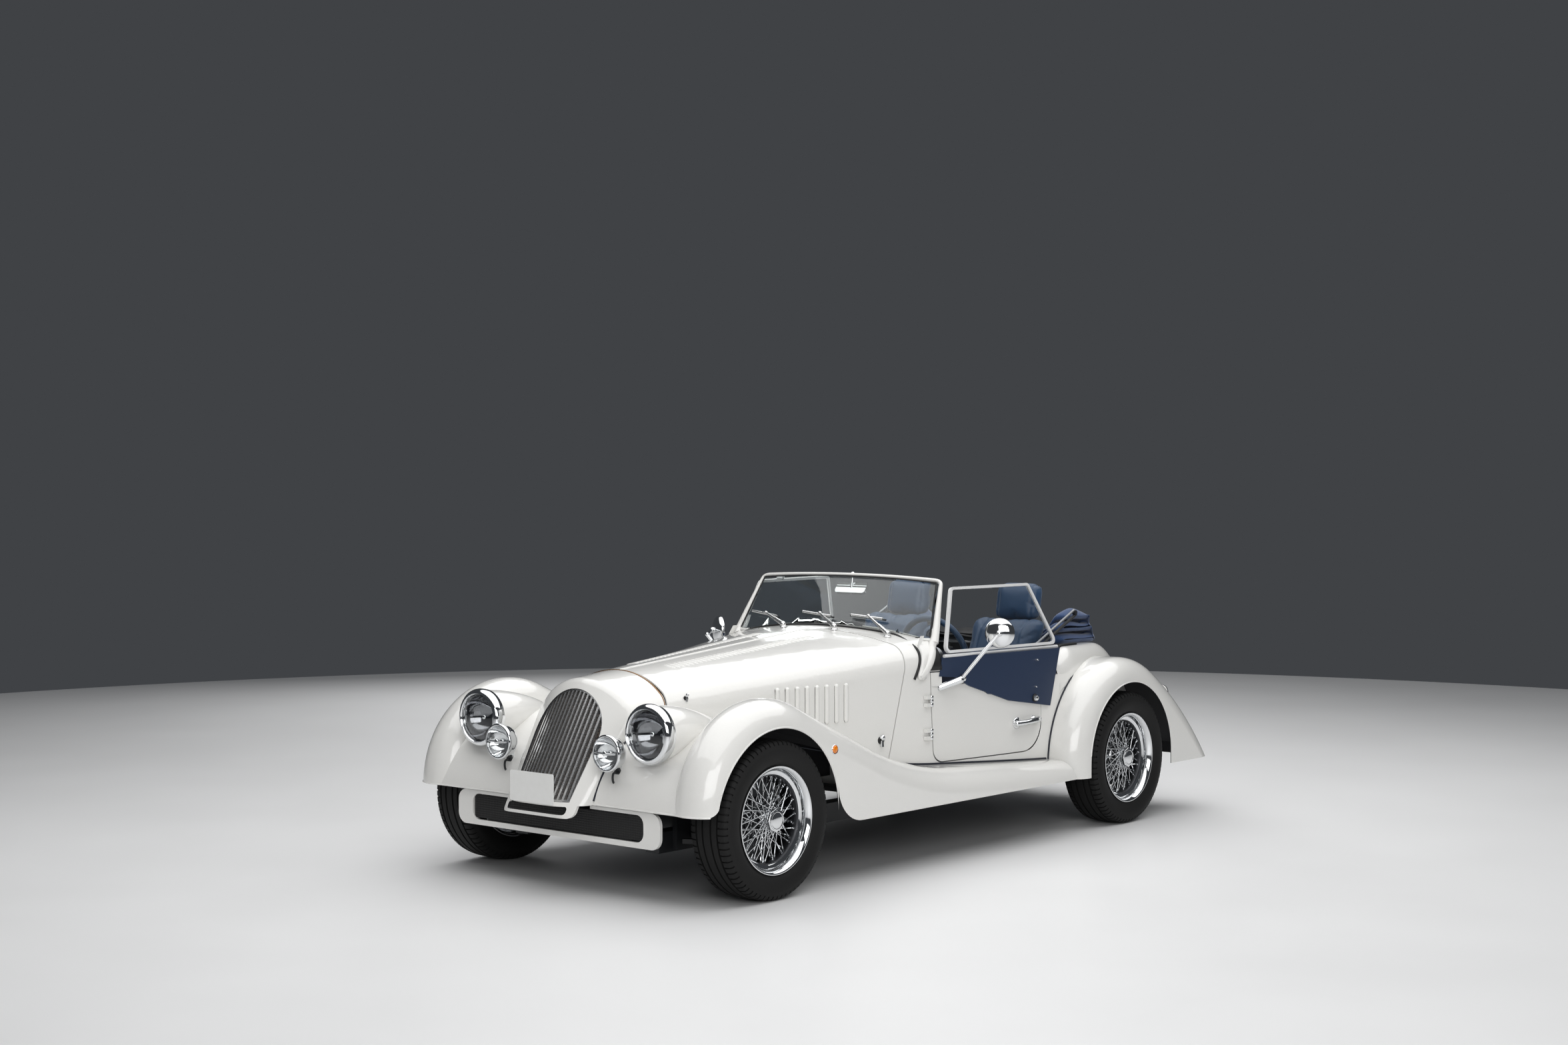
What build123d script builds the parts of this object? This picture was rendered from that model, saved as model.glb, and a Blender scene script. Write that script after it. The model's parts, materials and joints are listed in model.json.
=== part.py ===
from build123d import *
import math
import os

os.makedirs("parts", exist_ok=True)

# A classic open roadster at full size, in millimetres.
# Forward is -Y, the left side is +X, up is +Z and the ground is Z = 0.
# Stations are counted rearwards from the front axle, heights from the ground.

WHEELBASE = 2520
FRONT_OVERHANG = 515
REAR_OVERHANG = 715
SHEET = 3.0
SEAT_GAP = 0.3
MOVE_GAP = 6.0

# Wheels and tyres
WHEEL_X = 716
TYRE_R = 306
TYRE_W = 195
TYRE_TREAD_W = 158
RIM_FLANGE_R = 208
RIM_SEAT_R = 190
RIM_WELL_R = 164
RIM_HALF_W = 86
RIM_WALL = 4.5
HUB_R = 42
HUB_OUT = 66
HUB_BORE_R = 18.3
CAP_R = 47
CAP_OUT = 90
SPOKES_PER_ROW = 12
SPOKE_W = 4.2
DISC_R = 138
DISC_T = 20
DISC_IN = 20
CALIPER_IN_R = 96
CALIPER_OUT_R = 148
CALIPER_HALF_H = 40

# Steering and axles
KINGPIN_X = 640
KINGPIN_R = 15
KINGPIN_LOW = 214
KINGPIN_HIGH = 426
PIN_R = 10
STEER_ARM = 130
STEER_ARM_Z = 262
RACK_R = 8
RACK_HALF = 600
RACK_GUIDE_HALF = 230
AXLE_TUBE_R = 30
DIFF_R = 110
DIFF_HALF = 75
SPINDLE_R = 18

# Ladder frame and floor
RAIL_X = 365
RAIL_W = 70
RAIL_LOW = 165
RAIL_HIGH = 245
RAIL_FRONT = -376
HORN_H = 30
RAIL_REAR_OVER = 520
FLOOR_T = 17
FLOOR_FRONT = 1085
CROSS_HALF = 90
CROSS_HIGH = 300

# Nose: cowl, bonnet and scuttle share one straight tapering arch
NOSE_SEAM = -32
NOSE_SEAM_HALF = 300
NOSE_SEAM_TOP = 836
SCREEN_AT = 1262
SCREEN_HALF = 581
SCREEN_TOP = 952
ARCH_RISE = 165
ARCH_SHOULDER = 120
SEAM_LEAN = 0.233
BONNET_SEAM = 1162
BONNET_T = 4.0
HINGE_R = 4.5
SCUTTLE_T = 22
LOUVRE_COUNT = 8
LOUVRE_FIRST = 462
LOUVRE_PITCH = 50
LOUVRE_TOP = 752
LOUVRE_H = 165
LOUVRE_R = 11
SCUTTLE_REAR = 1330
FIREWALL_AT = 1180
FIREWALL_T = 8

# Cowl and grille
COWL_LOW = 308
COWL_T = 10
COWL_LEAN = 29.5
COWL_BOW_R = 417
COWL_NOSE_AT = -506
COWL_ROUND = 42
GRILLE_HALF = 178
GRILLE_FOOT_HALF = 160
GRILLE_ARCH_Z = 600
GRILLE_FOOT_Z = 366
SLAT_W = 8.0
SLAT_PITCH = 21.0
SLAT_DEPTH = 18
SLAT_BACK = 6
CHIN_HALF = 192
CHIN_ROUND = 22
CHIN_LOW = 320
CHIN_HIGH = 350

# Front wings and running boards
WING_X = 818
WING_LIP_Z = 354
CROWN_R = 413
CROWN_Z = 350
CROWN_FALL = 24.2
CROWN_LINE_END = 600
SWEEP_R = 1800
SWEEP_END = 1236
WING_ROUND = 105
CROWN_IN_X = 600
CROWN_IN_ROUND = 100
CATWALK_R = 392
CATWALK_Y = -20
CATWALK_Z = 270
CATWALK_FALL = 14.6
CATWALK_END = 1000
CATWALK_OUT_X = 708
ARCH_R = 350
SILL_LOW = 252
TOE_R = 60
HEEL_R = 150

# Rear wings
REAR_CROWN_R = 462
REAR_TURN = 60
REAR_TIP_Z = 300
REAR_LOW = 246
REAR_ROUND = 100

# Lamps
HEAD_X = 469
HEAD_Y = -346
HEAD_Z = 638
HEAD_R = 115
POD_R = 108
POD_TAIL = 60
SPOT_X = 301
SPOT_Y = -416
SPOT_Z = 559
SPOT_R = 72
REPEATER_AT = 326
REPEATER_Z = 548
REPEATER_R = 16
REPEATER_OUT = 9.3
REPEATER_BALL_R = 20
REAR_LAMP_R = 36
REAR_LAMP_AT = 2880
REAR_LAMP_SHARE = 0.6

# Body tub: half widths at stations from the front axle
TUB_LOW = 262
TUB_T = 40
TUB_ROUND = 70
TUB_ROUND_RISE = 90
TUB_TOP = 800
DECK_TOP = 790
TAIL_TOP = 452
TUB_MID_AT = 1700
TUB_MID_HALF = 634
TUB_WIDE_AT = 2130
TUB_WIDE_HALF = 657
TUB_DECK_AT = 2640
TUB_DECK_HALF = 600
TAIL_OVER = 668
TAIL_HALF = 430
COCKPIT_REAR = 2420

# Doors and side screens
DOOR_FRONT = 1268
DOOR_REAR = 2000
DOOR_LOW = 384
DOOR_TOP_FRONT = 770
DOOR_TOP_DIP = 655
DOOR_TOP_REAR = 615
DOOR_GAP = 5.0
HINGE_AT = 1262
HINGE_OUT = 10
HINGE_BARREL_R = 8
HINGE_BARREL_L = 16
HINGE_LOW_Z = 508
HINGE_HIGH_Z = 650
SIDE_SCREEN_Z = 846
SIDE_SCREEN_H = 292
SIDE_SCREEN_LEAN = 13
SIDE_FRAME_W = 17
SIDE_FRAME_T = 20
GLASS_T = 5
PANEL_T = 8
MIRROR_BASE_X = 585
MIRROR_BASE_R = 15
MIRROR_STAY_R = 8
MIRROR_R = 64

# Windscreen
SCREEN_Z = 915
SCREEN_LEAN = 35.4
SCREEN_FOOT_HALF = 540
SCREEN_HEAD_HALF = 514
SCREEN_SIDE_H = 296
SCREEN_MID_H = 338
SCREEN_FRAME_W = 20
SCREEN_FRAME_T = 24
LEG_T = 11
WIPER_AT = 1222
WIPER_UP = 30

# Cabin
SEAT_X = 322
SEAT_W = 450
WHEEL_HUB_AT = 1650
WHEEL_HUB_Z = 806
WHEEL_RIM_R = 176
COLUMN_R = 22
COLUMN_FRONT_AT = 1340
COLUMN_FRONT_Z = 724

LENGTH = FRONT_OVERHANG + WHEELBASE + REAR_OVERHANG
FRONT_AXLE = FRONT_OVERHANG - LENGTH / 2
REAR_AXLE = FRONT_AXLE + WHEELBASE
TAIL_AT = WHEELBASE + TAIL_OVER
TUB_TABLE = (
    # station, half width, top
    (SCREEN_AT, SCREEN_HALF, TUB_TOP),
    (TUB_MID_AT, TUB_MID_HALF, TUB_TOP),
    (TUB_WIDE_AT, TUB_WIDE_HALF, TUB_TOP),
    (TUB_DECK_AT, TUB_DECK_HALF, DECK_TOP),
    (TAIL_AT, TAIL_HALF, TAIL_TOP),
)
SIDE_TABLE = ((0, 0), (806, 0), (668, SIDE_SCREEN_H), (116, SIDE_SCREEN_H))


def at(station):
    """Y of a station counted rearwards from the front axle."""
    return FRONT_AXLE + station


def block(x0, x1, y0, y1, z0, z1):
    """A box between two corners."""
    return Pos((x0 + x1) / 2, (y0 + y1) / 2, (z0 + z1) / 2) * Box(x1 - x0, y1 - y0, z1 - z0)


def rod(start, end, radius):
    """A round bar between two points."""
    a = Vector(*start)
    d = Vector(*end) - a
    return extrude(Plane(a, z_dir=d) * Circle(radius), amount=d.length)


def bar(start, end, width):
    """A square bar between two points."""
    a = Vector(*start)
    d = Vector(*end) - a
    return extrude(Plane(a, z_dir=d) * Rectangle(width, width), amount=d.length)


def on_circle(centre, radius, degrees):
    """A point on a circle."""
    a = math.radians(degrees)
    return (centre[0] + radius * math.cos(a), centre[1] + radius * math.sin(a))


def arc(centre, radius, first, last):
    """An arc of a circle between two angles."""
    middle = on_circle(centre, radius, (first + last) / 2)
    return ThreePointArc(on_circle(centre, radius, first), middle, on_circle(centre, radius, last))


def chain(points):
    """Straight edges through a list of points."""
    return [Line(p, q) for p, q in zip(points[:-1], points[1:])]


def side_prism(edges, x0, x1):
    """Extrude a closed side outline of station and height edges across the car."""
    return extrude(Plane.YZ.offset(x0) * make_face(edges), amount=x1 - x0)


def side_poly(points, x0, x1, rounds=()):
    """Extrude a side polygon across the car, with some corners rounded."""
    face = make_face(chain(points + points[:1]))
    for index, radius in rounds:
        spot = points[index]
        near = min(face.vertices(), key=lambda v: (v.X - spot[0]) ** 2 + (v.Y - spot[1]) ** 2)
        face = fillet(near, radius)
    return extrude(Plane.YZ.offset(x0) * face, amount=x1 - x0)


def turned(profile, y_axis_x, z):
    """Revolve a radius and station profile about a fore and aft line."""
    face = Plane(Vector(y_axis_x, 0, z), x_dir=(1, 0, 0), z_dir=(0, 0, 1)) * make_face(profile)
    return revolve(face, Axis((y_axis_x, 0, z), (0, 1, 0)))


def left_and_right(shape):
    """The shape and its mirror image in the middle plane."""
    return [shape, mirror(shape, about=Plane.YZ)]


def arch_face(station, half, top, rise, shoulder, low):
    """A cross section: flat foot, upright sides, round shoulders and a crowned top."""
    spring = top - rise
    crown_r = ((half - shoulder) ** 2 + rise ** 2 - shoulder ** 2) / (2 * (rise - shoulder))
    dx = (half - shoulder) / (crown_r - shoulder)
    dz = (crown_r - rise) / (crown_r - shoulder)
    turn = math.degrees(math.atan2(dz, dx))
    hub = (half - shoulder, spring)
    tangent = on_circle(hub, shoulder, turn)
    middle = on_circle(hub, shoulder, turn / 2)
    edges = [
        Line((-half, low), (half, low)),
        Line((half, low), (half, spring)),
        ThreePointArc((half, spring), middle, tangent),
        ThreePointArc(tangent, (0, top), (-tangent[0], tangent[1])),
        ThreePointArc((-tangent[0], tangent[1]), (-middle[0], middle[1]), (-half, spring)),
        Line((-half, spring), (-half, low)),
    ]
    return Plane((0, at(station), 0), x_dir=(1, 0, 0), z_dir=(0, -1, 0)) * make_face(edges)


def nose_half(station):
    """Half width of the nose at a station."""
    share = (station - NOSE_SEAM) / (SCREEN_AT - NOSE_SEAM)
    return NOSE_SEAM_HALF + (SCREEN_HALF - NOSE_SEAM_HALF) * share


def nose_top(station):
    """Height of the nose on the middle line at a station."""
    share = (station - NOSE_SEAM) / (SCREEN_AT - NOSE_SEAM)
    return NOSE_SEAM_TOP + (SCREEN_TOP - NOSE_SEAM_TOP) * share


def nose(grow, front, rear, low=200):
    """The straight tapering nose between two stations, grown or shrunk all round."""
    faces = []
    for s in (front, rear):
        top = nose_top(s) + grow
        faces.append(arch_face(s, nose_half(s) + grow, top, ARCH_RISE + grow, ARCH_SHOULDER + grow, low))
    return loft(faces, ruled=True)


def tub(grow, low=TUB_LOW):
    """The tub's outer form from the screen to the tail, grown or shrunk all round."""
    faces = []
    for station, half, top in TUB_TABLE:
        where = station
        if station == SCREEN_AT:
            where -= abs(grow)
        if station == TAIL_AT:
            where += grow
        rise = TUB_ROUND_RISE + grow
        faces.append(arch_face(where, half + grow, top + grow, rise, TUB_ROUND + grow, low))
    return loft(faces)


def side_wall(grow, low, high):
    """An upright-sided block with the tub's plan form."""
    faces = []
    for station, half, top in TUB_TABLE:
        plane = Plane((0, at(station), 0), x_dir=(1, 0, 0), z_dir=(0, -1, 0))
        faces.append(plane * Pos(0, (low + high) / 2) * Rectangle(2 * (half + grow), high - low))
    return loft(faces)


def tub_half(station):
    """Half width of the tub at a station, near enough for fittings."""
    for (s0, h0, t0), (s1, h1, t1) in zip(TUB_TABLE[:-1], TUB_TABLE[1:]):
        if station <= s1:
            return h0 + (h1 - h0) * (station - s0) / (s1 - s0)
    return TUB_TABLE[-1][1]


def seam_plane(station, height, shift=0):
    """The leaning plane of a bonnet seam; its positive side is to the rear."""
    lean = math.atan(SEAM_LEAN)
    facing = (0, math.cos(lean), -math.sin(lean))
    return Plane((0, at(station) + shift, height), x_dir=(1, 0, 0), z_dir=facing)


# Wings

def crown_edges(inset):
    """The wing's crown line from the front lip to the end of the running board."""
    centre = (at(0), CROWN_Z)
    r = CROWN_R - inset
    turn = 90 - CROWN_FALL
    start = math.degrees(math.asin((WING_LIP_Z - CROWN_Z) / r))
    first = arc(centre, r, 180 - start, turn)
    slope = math.radians(CROWN_FALL)
    full = on_circle(centre, CROWN_R, turn)
    line_run = at(CROWN_LINE_END) - full[0]
    bend = (full[0] + line_run, full[1] - line_run * math.tan(slope))
    hub = (bend[0] + SWEEP_R * math.sin(slope), bend[1] + SWEEP_R * math.cos(slope))
    out = SWEEP_R + inset
    low_turn = math.degrees(math.asin((hub[0] - at(SWEEP_END)) / SWEEP_R))
    bend_in = on_circle(hub, out, -90 - CROWN_FALL)
    second = Line(on_circle(centre, r, turn), bend_in)
    third = arc(hub, out, -90 - CROWN_FALL, -90 - low_turn)
    foot = on_circle(hub, out, -90 - low_turn)
    stop = REAR_AXLE - REAR_CROWN_R - 1
    end = (stop, foot[1] - (stop - foot[0]) * math.tan(math.radians(low_turn)))
    return [first, second, third, Line(foot, end)], hub, out, low_turn, end


def close_side(edges, start, end, low):
    """Close a top line downwards to a level foot."""
    return edges + chain([end, (end[0], low), (start[0], low), start])


def crown_block(inset, x0, x1, low):
    """The raised outer crown of the wing as a solid, with both top edges rounded."""
    edges, hub, out, low_turn, end = crown_edges(inset)
    first = edges[0] @ 0
    start = (first.X, first.Y)
    solid = side_prism(close_side(edges, start, end, low), x0, x1)
    keep = []
    for e in solid.edges():
        middle = e @ 0.5
        flat = abs((e @ 0).X - (e @ 1).X) < 0.01
        if flat and middle.Z > low + 30 and abs(middle.Y - end[0]) > 0.5 and abs(middle.Y - start[0]) > 0.5:
            keep.append(e)
    outer = [e for e in keep if abs((e @ 0.5).X - x1) < 0.01]
    inner = [e for e in keep if abs((e @ 0.5).X - x0) < 0.01]
    solid = fillet(outer, WING_ROUND - inset)
    keep = []
    for e in solid.edges():
        middle = e @ 0.5
        flat = abs((e @ 0).X - x0) < 0.01 and abs((e @ 1).X - x0) < 0.01
        if flat and middle.Z > low + 30 and abs(middle.Y - end[0]) > 0.5 and abs(middle.Y - start[0]) > 0.5:
            keep.append(e)
    return fillet(keep, CROWN_IN_ROUND - inset)


def catwalk_block(inset, x0, x1, low):
    """The lower deck of the wing between the crown and the bonnet."""
    crown, hub, out, low_turn, end = crown_edges(inset)
    centre = (at(CATWALK_Y), CATWALK_Z)
    r = CATWALK_R - inset
    start = math.degrees(math.asin((WING_LIP_Z - CATWALK_Z) / r))
    turn = 90 - CATWALK_FALL
    first = arc(centre, r, 180 - start, turn)
    meet_turn = math.degrees(math.asin((hub[0] - at(CATWALK_END)) / out))
    meet = on_circle(hub, out, -90 - meet_turn)
    second = Line(on_circle(centre, r, turn), meet)
    third = arc(hub, out, -90 - meet_turn, -90 - low_turn)
    foot = on_circle(hub, out, -90 - low_turn)
    edges = [first, second, third, Line(foot, end)]
    return side_prism(close_side(edges, on_circle(centre, r, 180 - start), end, low), x0, x1)


def wheel_cut(axle, toe, heel, x0, x1):
    """The wheel opening seen from the side, with its round toe and heel."""
    z = TYRE_R
    cut = Pos(axle, z) * Circle(ARCH_R)
    if toe:
        cut += Pos(axle - 400, WING_LIP_Z - 150) * Rectangle(800, 300)
        corner = (axle - 393, WING_LIP_Z + TOE_R)
        square = Pos(corner[0] + TOE_R / 2, corner[1] - TOE_R / 2) * Rectangle(TOE_R, TOE_R)
        cut += square - Pos(*corner) * Circle(TOE_R)
    low = SILL_LOW if heel > 0 else REAR_LOW
    cut += Pos(axle, z - 150) * Rectangle(2 * ARCH_R, 300)
    if heel > 0:
        corner = (axle + ARCH_R + HEEL_R, low + HEEL_R)
        square = Pos(corner[0] - HEEL_R / 2, corner[1] - HEEL_R / 2) * Rectangle(HEEL_R, HEEL_R)
        cut += square - Pos(*corner) * Circle(HEEL_R)
    return extrude(Plane.YZ.offset(x0) * cut, amount=x1 - x0)


def pod(inset):
    """The teardrop that fairs the headlamp into the wing."""
    front = at(HEAD_Y) - (10 if inset else 0)
    length = at(POD_TAIL) - at(HEAD_Y)
    bow = (length ** 2 + POD_R ** 2) / (2 * POD_R)
    r = POD_R - inset
    half = math.degrees(math.asin(length / bow))
    hub = (POD_R - bow, at(HEAD_Y))
    stop = hub[1] + math.sqrt((bow - inset) ** 2 - hub[0] ** 2)
    middle = on_circle(hub, bow - inset, half / 2)
    edges = [ThreePointArc((r, at(HEAD_Y)), middle, (0, stop))]
    if inset:
        edges = [Line((r, front), (r, at(HEAD_Y)))] + edges
    edges += chain([(0, stop), (0, front), (r, front)])
    return turned(edges, HEAD_X, HEAD_Z)


def front_wing():
    """The left front wing with its running board and headlamp pod, as one pressing."""
    inner_x = 120
    outer = crown_block(0, CROWN_IN_X, WING_X, SILL_LOW) + catwalk_block(0, inner_x, CATWALK_OUT_X, SILL_LOW)
    cave = crown_block(SHEET, CROWN_IN_X + SHEET, WING_X - SHEET, SILL_LOW - 60)
    cave += catwalk_block(SHEET, inner_x - 50, CATWALK_OUT_X, SILL_LOW - 60)
    body = nose(SEAT_GAP * 2, -560, SCREEN_AT)
    wing = outer + pod(0)
    solid = wing
    wing = wing - cave - pod(SHEET)
    wing -= wheel_cut(at(0), True, 1, inner_x - 60, WING_X + 60)
    wing -= body
    wing -= tub(SEAT_GAP * 2, 100)
    return wing.solids().sort_by(SortBy.VOLUME)[-1], solid


def rear_wing():
    """The left rear wing, from its front face to the tail."""
    centre = (REAR_AXLE, TYRE_R)

    def outline(inset, low):
        r = REAR_CROWN_R - inset
        first = arc(centre, r, 180, REAR_TURN)
        start = on_circle(centre, r, 180)
        turn = on_circle(centre, r, REAR_TURN)
        tip = (at(WHEELBASE + REAR_OVERHANG) - inset, REAR_TIP_Z)
        heading = (math.sin(math.radians(REAR_TURN)), -math.cos(math.radians(REAR_TURN)))
        second = TangentArc(turn, tip, tangent=heading)
        return [first, second] + chain([tip, (tip[0], low), (start[0], low), start]), start, tip

    def rounded(inset, x0, x1, low):
        edges, start, tip = outline(inset, low)
        solid = side_prism(edges, x0, x1)
        keep = []
        for e in solid.edges():
            middle = e @ 0.5
            if abs((e @ 0).X - x1) < 0.01 and abs((e @ 1).X - x1) < 0.01 and middle.Z > low + 20:
                upright = abs((e @ 0).Y - (e @ 1).Y) < 0.01
                if not (upright and middle.Y > REAR_AXLE):
                    keep.append(e)
        return fillet(keep, REAR_ROUND - inset)

    outer = rounded(0, 450, WING_X, REAR_LOW)
    cave = rounded(SHEET, 320, WING_X - SHEET, REAR_LOW - 60)
    wing = outer - cave
    wing -= wheel_cut(REAR_AXLE, False, 0, 300, WING_X + 60)
    wing -= tub(SEAT_GAP * 2, 100)
    return wing.solids().sort_by(SortBy.VOLUME)[-1], outer


# Nose pieces

def cowl_form(inset):
    """The cowl's outer form ahead of the bonnet seam."""
    lean = math.radians(COWL_LEAN)
    axis = Vector(0, math.sin(lean), math.cos(lean))
    r = COWL_BOW_R - inset
    foot = Vector(0, at(COWL_NOSE_AT) + COWL_BOW_R / math.cos(lean), GRILLE_FOOT_Z)
    ends = (Align.CENTER, Align.CENTER, Align.MIN)
    drum = Plane(foot - axis * 500, x_dir=(1, 0, 0), z_dir=axis) * Cylinder(r, 1800, align=ends)
    form = nose(-inset, -560, NOSE_SEAM + 160, COWL_LOW + (0 if not inset else -60)) & drum
    form = split(form, bisect_by=seam_plane(NOSE_SEAM, NOSE_SEAM_TOP, -MOVE_GAP / 2), keep=Keep.BOTTOM)
    form &= block(-600, 600, at(COWL_NOSE_AT) + inset, at(400), 0, 1200)
    return form.solids().sort_by(SortBy.VOLUME)[-1]


def round_front(form, drum_r, radius):
    """Round the cowl's front edge where the sides and the top turn into the grille."""
    drum = [f for f in form.faces() if f.geom_type == GeomType.CYLINDER and abs(f.radius - drum_r) < 0.5]
    edges = []
    for e in drum[0].edges():
        if (e @ 0.5).Z > COWL_LOW + 5:
            edges.append(e)
    return fillet(edges, radius)


def grille_outline(inset):
    """The grille's arch-topped outline seen from the front."""
    r = GRILLE_HALF - inset
    foot = GRILLE_FOOT_HALF - inset
    low = GRILLE_FOOT_Z + inset
    edges = [ThreePointArc((r, GRILLE_ARCH_Z), (0, GRILLE_ARCH_Z + r), (-r, GRILLE_ARCH_Z))]
    edges += chain([(-r, GRILLE_ARCH_Z), (-foot, low), (foot, low), (r, GRILLE_ARCH_Z)])
    return make_face(edges)


def front_prism(face, front, rear):
    """Extrude a front outline of width and height edges rearwards between two stations."""
    return extrude(Plane((0, at(rear), 0), x_dir=(1, 0, 0), z_dir=(0, -1, 0)) * face, amount=rear - front)


def cowl():
    """The hollow cowl with its grille opening and chin slot."""
    outer = cowl_form(0)
    outer = round_front(outer, COWL_BOW_R, COWL_ROUND)
    apron = Pos(0, COWL_LOW + 100) * RectangleRounded(2 * CHIN_HALF, 200, CHIN_ROUND)
    outer -= block(-500, 500, at(-620), at(300), COWL_LOW - 50, WING_LIP_Z) - front_prism(apron, -620, 300)
    outer = outer.solids().sort_by(SortBy.VOLUME)[-1]
    shell = outer - cowl_form(COWL_T)
    shell -= front_prism(grille_outline(0), -620, -150)
    slot = RectangleRounded(2 * GRILLE_FOOT_HALF, CHIN_HIGH - CHIN_LOW, 12)
    shell -= front_prism(Pos(0, (CHIN_LOW + CHIN_HIGH) / 2) * slot, -620, -400)
    return shell.solids().sort_by(SortBy.VOLUME)[-1], outer


def grille():
    """The bowed grille: a rim and upright slats."""
    lean = math.radians(COWL_LEAN)
    axis = Vector(0, math.sin(lean), math.cos(lean))
    foot = Vector(0, at(COWL_NOSE_AT) + COWL_BOW_R / math.cos(lean), GRILLE_FOOT_Z)
    base = Plane(foot - axis * 500, x_dir=(1, 0, 0), z_dir=axis)

    def tube(out, deep):
        ends = (Align.CENTER, Align.CENTER, Align.MIN)
        skin = Cylinder(COWL_BOW_R - out, 1500, align=ends)
        return base * (skin - Cylinder(COWL_BOW_R - deep, 1500, align=ends))

    hole = grille_outline(SEAT_GAP)
    rim = front_prism(hole - grille_outline(7), -620, -150)
    count = int((GRILLE_HALF - 12) / SLAT_PITCH)
    bars = None
    for i in range(-count, count + 1):
        x = i * SLAT_PITCH
        top = GRILLE_ARCH_Z + GRILLE_HALF
        one = block(x - SLAT_W / 2, x + SLAT_W / 2, at(-620), at(-150), GRILLE_FOOT_Z, top)
        bars = one if bars is None else bars + one
    front = front_prism(hole, -620, -150)
    work = (rim + (bars & front)) & tube(SLAT_BACK, SLAT_BACK + SLAT_DEPTH)
    return work.solids().sort_by(SortBy.VOLUME)[-1]


def bonnet_left():
    """The left bonnet half, hinged on the middle line, with raised side louvres."""
    shell = nose(0, NOSE_SEAM - 260, SCREEN_AT + 40, 150)
    shell -= nose(-BONNET_T, NOSE_SEAM - 300, SCREEN_AT + 80, 100)
    shell = split(shell, bisect_by=seam_plane(NOSE_SEAM, NOSE_SEAM_TOP, MOVE_GAP / 2), keep=Keep.TOP)
    top = nose_top(BONNET_SEAM)
    shell = split(shell, bisect_by=seam_plane(BONNET_SEAM, top, -MOVE_GAP / 2), keep=Keep.BOTTOM)
    under = catwalk_block(-MOVE_GAP, 5, 900, 50)
    shell -= under
    shell &= block(HINGE_R + 1.5, 900, at(-500), at(1500), 100, 1300)
    shell = shell.solids().sort_by(SortBy.VOLUME)[-1]
    for i in range(LOUVRE_COUNT):
        s = LOUVRE_FIRST + i * LOUVRE_PITCH
        x = nose_half(s)
        foot = (x, at(s), LOUVRE_TOP - LOUVRE_H + LOUVRE_R)
        head = (x, at(s), LOUVRE_TOP - LOUVRE_R)
        vent = rod(foot, head, LOUVRE_R) + Pos(*foot) * Sphere(LOUVRE_R) + Pos(*head) * Sphere(LOUVRE_R)
        shell += vent - nose(-BONNET_T + 1, NOSE_SEAM - 300, SCREEN_AT + 80, 100)
    return shell


def hinge_rod():
    """The rod along the middle line on which both bonnet halves turn."""
    front = (0, at(NOSE_SEAM) - 2, nose_top(NOSE_SEAM) - 1)
    rear = (0, at(BONNET_SEAM) + 2, nose_top(BONNET_SEAM) - 1)
    return rod(front, rear, HINGE_R)


# Tub, doors and screens

def door_points(grow):
    """The door's side outline, grown all round by a gap."""
    lean = 22
    return [
        (at(DOOR_FRONT + lean) - grow, DOOR_LOW - grow),
        (at(DOOR_REAR) + grow, DOOR_LOW - grow),
        (at(DOOR_REAR) + grow, DOOR_TOP_REAR + grow),
        (at(DOOR_FRONT + 360), DOOR_TOP_DIP + grow),
        (at(DOOR_FRONT + 150), DOOR_TOP_FRONT + grow),
        (at(DOOR_FRONT) - grow, DOOR_TOP_FRONT + grow),
    ]


def body_shell():
    """The scuttle, cabin sides, deck and tail as one hollow shell before the doors are cut."""
    scuttle = nose(0, 900, SCUTTLE_REAR, TUB_LOW) - nose(-SCUTTLE_T, 800, SCUTTLE_REAR + 50, 100)
    cut = seam_plane(BONNET_SEAM, nose_top(BONNET_SEAM), MOVE_GAP / 2)
    scuttle = split(scuttle, bisect_by=cut, keep=Keep.TOP)
    room = block(-900, 900, at(SCREEN_AT), at(SCUTTLE_REAR) + 5, 100, TUB_TOP - TUB_ROUND_RISE)
    scuttle -= room
    cabin = tub(0) - tub(-TUB_T, 100)
    cabin -= block(-900, 900, at(SCREEN_AT) - 60, at(COCKPIT_REAR), TUB_TOP - TUB_ROUND_RISE, 1000)
    return scuttle, cabin


def main_tub():
    """The finished tub with its firewall, door openings and rear wheel arches."""
    scuttle, cabin = body_shell()
    wall = nose(-1, FIREWALL_AT, FIREWALL_AT + FIREWALL_T, TUB_LOW)
    shell = scuttle + cabin + wall
    for side in left_and_right(side_poly(door_points(DOOR_GAP), 380, 900, ((0, 60), (1, 130)))):
        shell -= side
    for side in left_and_right(wheel_cut(REAR_AXLE, False, 0, 560, 900)):
        shell -= side
    return shell.solids().sort_by(SortBy.VOLUME)[-1]


def door_left():
    """The left door: the wall inside the door's outline, with its two hinge barrels."""
    scuttle, cabin = body_shell()
    wall = (scuttle + cabin) & side_poly(door_points(0), 380, 900, ((0, 60), (1, 130)))
    door = wall.solids().sort_by(SortBy.VOLUME)[-1]
    x = hinge_x()
    for z in (HINGE_LOW_Z, HINGE_HIGH_Z):
        half = HINGE_BARREL_L / 2 - SEAT_GAP
        door += rod((x, at(HINGE_AT), z - half), (x, at(HINGE_AT), z + half), HINGE_BARREL_R)
        door += block(x - 5.5, x + 3, at(HINGE_AT) + 4, at(HINGE_AT) + 42, z - half, z + half)
    return door.solids().sort_by(SortBy.VOLUME)[-1]


def hinge_x():
    """Where the door's hinge line stands, just outside the body side."""
    return nose_half(HINGE_AT) + HINGE_OUT


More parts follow.
